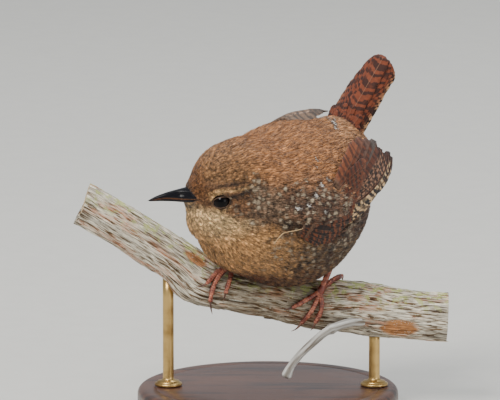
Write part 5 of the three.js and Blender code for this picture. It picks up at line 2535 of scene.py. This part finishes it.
@dataclass
class Perch:
    """The cut branch with its ridged bark, slivers and side twig.

    peeled holds the two bare patches and knot the bump: place along the branch, its spread, turn and its spread.
    caps are the cut ends' rings, as shares of the outline, and hollow how deep their middle lies.
    """

    stations: int = 400
    sides: int = 168
    girth: float = 6.5
    peeled: Rows = ((38, 7.5, 2.1, 0.5), (-24, 5, 0.7, 0.4))
    knot: tuple[float, ...] = (-22, 3.0, 2.9, 0.42)
    caps: tuple[float, ...] = (0.12, 0.5, 0.9, 0.995)
    hollow: float = 0.15
    slivers: float = 90000.0
    twig: Rows = (
        (27.5, -5.5, 27.6), (21.5, -8.3, 26.8), (16.8, -9.2, 24.9), (13, -9.6, 21.8), (9, -9.9, 17.9),
        (6.5, -10, 14.4), (5.2, -10, 11.6),
    )

    def spot(self, x: Array, turn: Array, where: Sequence[float]) -> Array:
        """A soft round spot on the bark."""
        return bump_at(x, *where[:2]) * bump_at(turn, *where[2:])

    def branch(self) -> Surface:
        """The branch, with grain, which holds its own coordinates, relief and fibre.

        Returns:
            Its closed surface.
        """
        low, high = PERCH[0][0], PERCH[-1][0]
        x = np.linspace(low, high, self.stations)[:, None]
        turn = ring_turns(self.sides)[None]
        share = (x - low) / (high - low)
        ridge = 0.22 * np.sin(3 * turn + 5 * share) + 0.14 * np.sin(5 * turn - 9 * share)
        straight = [x + 0 * turn, self.girth * np.cos(turn) + 0 * x, self.girth * np.sin(turn) + 0 * x]
        straight = np.stack(straight, -1)
        sizes = ((9.0, 1.5, 1.5, 2), (5.0, 0.6, 0.6, 4), (3.0, 0.32, 0.32, 7), (12.0, 4.0, 4.0, 6))
        coarse, fine, thread, patch = (noise(straight / size, 1.0, seed) for *size, seed in sizes)
        first, second = (self.spot(x, turn, where) for where in self.peeled)
        bare = np.maximum(smooth(first + 0.25 * coarse, 0.45, 0.65), smooth(second + 0.2 * coarse, 0.55, 0.7))
        rough = 0.34 * coarse + 0.3 * fine + 0.16 * thread
        lift = -0.35 + ridge + rough * (1 - 0.6 * bare) + 0.12 * patch - 0.3 * bare
        rings = on_perch(x + 0 * turn, turn + 0 * x, lift + 0.9 * self.spot(x, turn, self.knot))
        ends = []
        for ring, step in ((rings[0], 1), (rings[-1], -1)):
            cap = np.array([ring.mean(0) + (ring - ring.mean(0)) * scale for scale in self.caps])
            cap[0, :, 0] += step * self.hollow
            ends.append(cap[::step])
        rings = np.concatenate([ends[0], rings, ends[1]])
        count = len(self.caps)
        pad = ((count, count), (0, 0))
        # Where the bark sinks lowest it is marked dark: cracks, and painted shade in the furrows.
        cracked_and_shaded = np.pad(0.8 * smooth(-(coarse + 0.7 * fine), 0.65, 1.15), pad)
        bare = np.pad(bare + 0 * turn, pad, constant_values=2.0)
        moss = np.pad(smooth(np.cos(turn), 0.0, 0.8) + 0 * x, pad)
        shrink = np.array([*self.caps[:-1], 1.0])[:, None, None] ** [0, 1, 1]
        grain = np.concatenate([straight[:1] * shrink, straight, straight[-1:] * shrink[::-1]])
        fibre = unit(np.gradient(rings.mean(1), axis=0))[:, None] + 0 * rings
        return ring_tube(rings, {"grain": grain, "relief": np.stack([cracked_and_shaded, bare, moss], -1), "fibre": fibre})

    def side_twig(self) -> Surface:
        """The bleached twig that leaves the branch towards the viewer and hangs down.

        Returns:
            Its closed surface.
        """
        route = through(self.twig, 60)
        share = np.linspace(0, 1, 60)
        turns = ring_turns(32)
        radius = mix(1.3, 1.05, share) + 0.5 * smooth(share, 0.86, 1) - 0.35 * smooth(share, 0.985, 1)
        radius = radius + 0.35 * bump_at(share, 0.34, 0.03) + 0.3 * bump_at(share, 0.02, 0.06)
        ripple = 0.05 * np.sin(5 * turns + 7 * share[:, None]) + 0.035 * np.sin(9 * turns - 15 * share[:, None])
        bud = 0.5 * bump_at(share[:, None], 0.34, 0.025) * bump_at(turns[None], 2.2, 0.5)
        return tube(route, np.array([0.0, -1.0, 0.25]), radius[:, None] * (1 + ripple) + bud, 32)

    def build(self, bark: Material, bleached: Material) -> None:
        """Adds branch, slivers and twig.

        Args:
            bark: Material of branch and slivers.
            bleached: The twig's material.
        """
        surface = self.branch()
        form = surface.mesh("bark_form")
        ends = smooth(surface.points[:, 0], PERCH[0][0] + 0.5, PERCH[0][0] + 5)
        ends = ends * smooth(surface.points[:, 0], PERCH[-1][0] - 1.5, PERCH[-1][0] - 4)
        store(form, "rough", ends)
        slivers = fibre_growth(self.slivers, 5).grown("bark_slivers", form, bark)
        piece("branch_bark", surface, bark, ("perch_branch",))
        piece("bark_slivers", slivers, bark)
        piece("side_twig", self.side_twig(), bleached, ("perch_twig",))


@dataclass(frozen=True)
class Foot:
    """Where one foot holds the perch: places along it, turns in degrees and lifts over the bark.

    heel is a place in the frame.
    """

    ankle: Triple
    heel: Triple
    toes: tuple


FEET = {
    "right": Foot(
        (-12.2, 30, 1.6),
        (-6.5, -1.5, 54),
        (
            ((-16.0, 52, 0.85), (-18.6, 84, 0.85), (-20.2, 99, 0.5)),
            ((-15.0, 58, 0.85), (-15.9, 112, 0.9), (-14.6, 141, 2.6)),
            ((-11.8, 52, 0.85), (-12.2, 86, 0.85), (-12.4, 112, 0.5)),
            ((-10.4, -10, 0.85), (-8.8, -45, 0.85), (-8.4, -78, 0.5)),
        ),
    ),
    "left": Foot(
        (14.5, 54, 1.5),
        (20.5, -5, 50),
        (
            ((10.0, 78, 0.85), (6.4, 98, 0.85), (4.2, 104, 0.6)),
            ((12.8, 92, 0.85), (10.8, 122, 1.0), (8.4, 142, 3.2)),
            ((15.4, 90, 0.85), (14.2, 118, 0.9), (13.4, 138, 2.0)),
            ((17.6, 24, 0.85), (20.8, -8, 0.85), (21.4, -44, 0.5)),
        ),
    ),
}


@dataclass
class Leg:
    """One leg: scaled shank, four padded toes with scutes and claws.

    toe, shank, joint and claw are radii, and spacing that of the scutes in metres.
    """

    name: str
    foot: Foot
    toe: float = 0.74
    shank: float = 0.92
    joint: float = 1.15
    claw: float = 0.5
    claw_share: float = 0.3
    spacing: float = 0.00066
    front: Triple = (-0.35, -0.93, 0.1)

    def routes(self) -> tuple[Array, list[Array]]:
        """Middle lines of shank and toes.

        Returns:
            The shank's line and one for each toe.
        """
        x, turn, lift = self.foot.ankle
        ankle = on_perch(x, math.radians(turn), lift)
        heel = np.array(self.foot.heel, float)
        middle = (ankle + heel) / 2
        shank = through([ankle, middle + (0.2, -0.2, 0), heel, heel + (heel - middle) * 0.3], 26)
        toes = []
        for stations in self.foot.toes:
            places = [on_perch(x, math.radians(turn), lift) for x, turn, lift in stations]
            toes.append(through([ankle, *places], 60))
        return shank, toes

    def outward(self, route: Array) -> Array:
        """Directions away from the perch's middle line along a route."""
        z = curve(PERCH, route[:, 0])[:, 0]
        return unit(route - np.stack([route[:, 0], 0 * z, z], -1))

    def flesh(self) -> tuple[Surface, Surface]:
        """The skin of shank and toes, and the claws.

        Returns:
            The two surfaces.
        """
        shank, toes = self.routes()
        share = np.linspace(0, 1, len(shank))
        girth = 1 - 0.12 * np.sin(math.pi * share) + 0.3 * bump_at(share, 0, 0.08) + 0.25 * bump_at(share, 0.8, 0.1)
        ankle = shank[:1] + np.linspace(-0.9, 0.9, 9)[:, None] * (0.5, -0.2, 0.85)
        round_off = np.sqrt(1 - np.linspace(-0.98, 0.98, 9) ** 2)
        hint = np.array([0.0, -1.0, 0.0])
        skins = [tube(shank, hint, self.shank * girth, 20), tube(ankle, hint, self.joint * round_off, 18)]
        claws = []
        for route in toes:
            last = int(len(route) * (1 - self.claw_share))
            pad = route[: last + 3]
            s = np.linspace(0, 1, len(pad))
            bulge = 1 + 0.13 * np.cos(s * 5.5 * math.pi) - 0.12 * s
            cap = np.sqrt(np.clip((1.02 - s) / 0.06, 0.02, 1))
            skins.append(tube(pad, self.outward(pad), self.toe * bulge * cap, 20))
            claw = self.claw_route(route[last - 1 :])
            s = np.linspace(0, 1, len(claw))
            claws.append(tube(claw, self.outward(claw), mix(self.claw, self.claw / 10, s**0.8), 14))
        return Surface.joined(skins), Surface.joined(claws)

    def claw_route(self, end: Array) -> Array:
        """A claw that arches off the toe and comes down on the bark.

        Args:
            end: The last points of the toe's line.

        Returns:
            The claw's middle line.
        """
        s = np.linspace(0, 1, 24)
        steps = np.linspace(0, len(end) - 1, 24)
        path = np.stack([np.interp(steps, np.arange(len(end)), end[:, axis]) for axis in range(3)], -1)
        arch = 0.55 * np.sin(math.pi * np.minimum(s * 1.05, 1)) - 0.25 * s
        return path + self.outward(path) * arch[:, None]

    def paths(self) -> bpy.types.Mesh:
        """Lines over the toes' and shank's fronts, with the girth and outward direction of the scutes there.

        Returns:
            A mesh of lines.
        """
        shank, toes = self.routes()
        shank = shank[3:-3]
        fronts = [route[: int(len(route) * (1 - self.claw_share)) + 1] for route in toes]
        lines = [(route, self.outward(route), self.toe) for route in fronts]
        lines.append((shank, np.broadcast_to(self.front, shank.shape), self.shank))
        points, outwards, girths, edges, start = [], [], [], [], 0
        for route, away, radius in lines:
            _, away, _ = frames_along(route, away)
            girth = np.full(len(route), radius)
            points.append(route + away * girth[:, None] * 0.68)
            outwards.append(away)
            girths.append(girth)
            edges += [(start + index, start + index + 1) for index in range(len(route) - 1)]
            start += len(route)
        made = bpy.data.meshes.new("scute_lines")
        made.from_pydata((np.concatenate(points) * MM).tolist(), edges, [])
        store(made, "outward", np.concatenate(outwards))
        store(made, "girth", np.concatenate(girths) * MM)
        return made

    def build(self, skin: Material, scale: Material, horn: Material) -> None:
        """Adds the leg's skin, scutes and claws.

        Args:
            skin: Material of shank and toes.
            scale: The scutes' material.
            horn: The claws' material.
        """
        flesh, claws = self.flesh()
        piece(f"leg_{self.name}_skin", flesh, skin, (f"leg_{self.name}",))
        piece(f"claws_{self.name}", claws, horn)
        scutes = scute_growth(self.spacing, 3).grown(f"scutes_{self.name}", self.paths(), scale)
        piece(f"scutes_{self.name}", scutes, scale)


@dataclass
class Stand:
    """The turned base and its two rods.

    seat is how far over the base's top a rod's foot starts, and into how far below the branch's middle line the
    rod ends. bead holds steps in from the base's edge and heights, groove the same with depths below its top,
    collar steps in from a foot's edge and heights, and neck steps out from the rod and heights.
    """

    radius: float = 38.0
    height: float = 7.0
    rods: Pair = (-29.0, 31.0)
    rod: float = 1.6
    foot: float = 4.0
    seat: float = 0.3
    into: float = 6.2
    bead: Rows = ((0, 2.2), (0.05, 2.4), (0.45, 2.55), (0.45, 2.8), (0.05, 2.95), (0, 3.1))
    groove: Rows = ((2.5, 0), (5, 0), (5.2, 0.15), (5.5, 0.15), (5.7, 0))
    collar: Rows = ((0.05, 0), (0, 0.08), (0, 0.5), (0.15, 0.75), (0.6, 0.85), (0.7, 1.0), (0.8, 1.25))
    neck: Rows = ((0.5, 1.5), (0.12, 1.8), (0, 2.2))

    def turned(self, profile: Sequence[Pair], centre: float, sides: int) -> Surface:
        """A body turned about an upright line.

        Args:
            profile: Radius and height of its outline from the bottom up.
            centre: Where the line stands.
            sides: Points round it.

        Returns:
            The closed surface with its own coordinates as grain.
        """
        turn = ring_turns(sides)
        rings = [np.stack([centre + r * np.cos(turn), r * np.sin(turn), z + 0 * turn], -1) for r, z in profile]
        return ring_tube(np.array(rings), {"grain": np.array(rings)})

    def base(self) -> Surface:
        """The round base with a foot groove, a bead and a domed edge.

        Returns:
            Its closed surface.
        """
        r, h = self.radius, self.height
        profile = [(r * s, 0.0) for s in (0.05, 0.5, 0.9)] + [(r - 1.02, 0.0), (r - 1.0, 0.02)]
        profile += [(r - 1 + math.sin(a), 1 - math.cos(a)) for a in np.linspace(0.05, math.pi / 2, 7)]
        profile += [(r - step, z) for step, z in self.bead] + [(r, h - 2.3)]
        profile += [(r - 2 + 2 * math.cos(a), h - 2 + 2 * math.sin(a)) for a in np.linspace(0, math.pi / 2, 12)]
        profile += [(r - step, h - deep) for step, deep in self.groove] + [(r * 0.6, h), (r * 0.2, h), (0.5, h)]
        return self.turned(profile, 0.0, 192)

    def rod_surface(self, x: float) -> Surface:
        """One rod with its turned foot, up to the middle of the branch.

        Args:
            x: Where it stands.

        Returns:
            Its closed surface.
        """
        low, top = self.height + self.seat, float(curve(PERCH, np.array([x]))[0, 0]) - self.into
        profile = [(0.1, low)] + [(self.foot - step, low + z) for step, z in self.collar]
        profile += [(self.rod + step, low + z) for step, z in self.neck]
        profile += [(self.rod, z) for z in np.linspace(low + 2.6, top, 6)]
        return self.turned(profile, x, 48)

    def build(self, wood: Material, brass: Material) -> None:
        """Adds base and rods.

        Args:
            wood: The base's material.
            brass: The rods' material.
        """
        piece("base_turning", self.base(), wood, ("stand_base",))
        for name, x in zip(("left", "right"), self.rods):
            piece(f"rod_{name}", self.rod_surface(x), brass, (f"stand_rod_{name}",))


@dataclass
class Studio:
    """Pale floor, soft lights and the photograph's camera.

    target is where the camera looks, and frame_width what it sees across there, in millimetres. lamps holds
    name, place and side in metres, watts and tint of each light.
    """

    target: Triple = (-5.22, 0.0, 62.0)
    distance: float = 1800.0
    elevation: float = math.radians(10)
    frame_width: float = 145.0
    sensor: float = 36.0
    half_floor: float = 4.0
    sky: tuple[float, ...] = (0.86, 0.9, 0.95, 1)
    sky_strength: float = 0.55
    lamps: tuple[tuple[str, Triple, float, float, Triple], ...] = (
        ("key", (-0.5, -0.75, 0.95), 0.5, 15.0, (1.0, 0.97, 0.92)),
        ("overhead", (0.25, 0.25, 1.2), 0.9, 12.0, (0.95, 0.98, 1.0)),
        ("fill", (0.9, -0.8, 0.35), 0.6, 3.0, (1.0, 0.98, 0.95)),
    )

    def camera(self) -> None:
        """Adds the camera at the photograph's angle and framing."""
        lens = bpy.data.cameras.new("photo_camera")
        lens.sensor_width = self.sensor
        lens.lens = self.sensor * self.distance / self.frame_width
        lens.clip_end = 20.0
        camera = placed("photo_camera", lens)
        back = Vector((0, -math.cos(self.elevation), math.sin(self.elevation)))
        camera.location = (Vector(self.target) + back * self.distance) * MM
        camera.rotation_euler = (math.pi / 2 - self.elevation, 0, 0)
        bpy.context.scene.camera = camera

    def light(self, name: str, place: Sequence[float], size: float, watts: float, tint: Sequence[float]) -> None:
        """A square soft light that faces the bird.

        Args:
            name: Its name.
            place: Where it hangs, in metres.
            size: Its side, in metres.
            watts: Its power.
            tint: Its colour.
        """
        lamp = bpy.data.lights.new(name, "AREA")
        lamp.shape, lamp.size, lamp.energy, lamp.color = "SQUARE", size, watts, tuple(tint)
        shown = placed(name, lamp)
        shown.location = place
        away = Vector(place) - Vector(self.target) * MM
        shown.rotation_euler = away.to_track_quat("Z", "Y").to_euler()

    def floor(self, finish: Material) -> None:
        """Adds the floor.

        Args:
            finish: Its material.
        """
        mesh = bpy.data.meshes.new("floor")
        half = self.half_floor
        mesh.from_pydata([(-half, -half, 0), (half, -half, 0), (half, half, 0), (-half, half, 0)], [], [(0, 1, 2, 3)])
        mesh.materials.append(finish)
        placed("floor", mesh)

    def build(self) -> None:
        """Adds everything that isn't the object."""
        world = bpy.data.worlds.new("studio")
        bpy.context.scene.world = world
        world.use_nodes = True
        sky = world.node_tree.nodes["Background"]
        sky.inputs["Color"].default_value = self.sky
        sky.inputs["Strength"].default_value = self.sky_strength
        self.floor(PaintFinish("pale_floor", tone(206, 204, 198), 120.0).material())
        for lamp in self.lamps:
            self.light(*lamp)
        self.camera()


def main() -> None:
    """Builds the whole scene in order."""
    logging.basicConfig(level=logging.INFO, format="%(name)s: %(message)s")
    plumage = PlumageFinish().material()
    vanes = VaneFinish("flight_feathers", BAR_PERIOD, 0.22, tone(92, 62, 44)).material()
    Plumage().build(plumage)
    for side in SIDES.values():
        Wing(side, far=side < 0).build(vanes)
    Tail().build(VaneFinish("tail_vanes", BAR_PERIOD, 0.16, tone(128, 88, 64), 0.035, 0.55).material())
    Bill().build(HornFinish().material())
    wet, bare = EyeFinish().material(), BareSkinFinish().material()
    for side in SIDES.values():
        Eye(side).build(wet, bare)
    Perch().build(
        BarkFinish().material(),
        WoodFinish("bleached_twig", tone(216, 215, 210), tone(112, 102, 90), 0.7).material(),
    )
    skin = LegFinish("shank_skin", tone(132, 58, 42), tone(86, 34, 26)).material()
    scale = LegFinish("toe_scutes", tone(196, 118, 90), tone(112, 50, 36)).material()
    claw = LegFinish("claw_horn", tone(128, 84, 64), tone(76, 48, 38)).material()
    for name, foot in FEET.items():
        Leg(name, foot).build(skin, scale, claw)
    Stand().build(
        WoodFinish("dark_hardwood", tone(92, 56, 38), tone(48, 28, 20), 0.32, 0.35, 0.35).material(),
        BrassFinish().material(),
    )
    Studio().build()


if __name__ == "__main__":
    main()
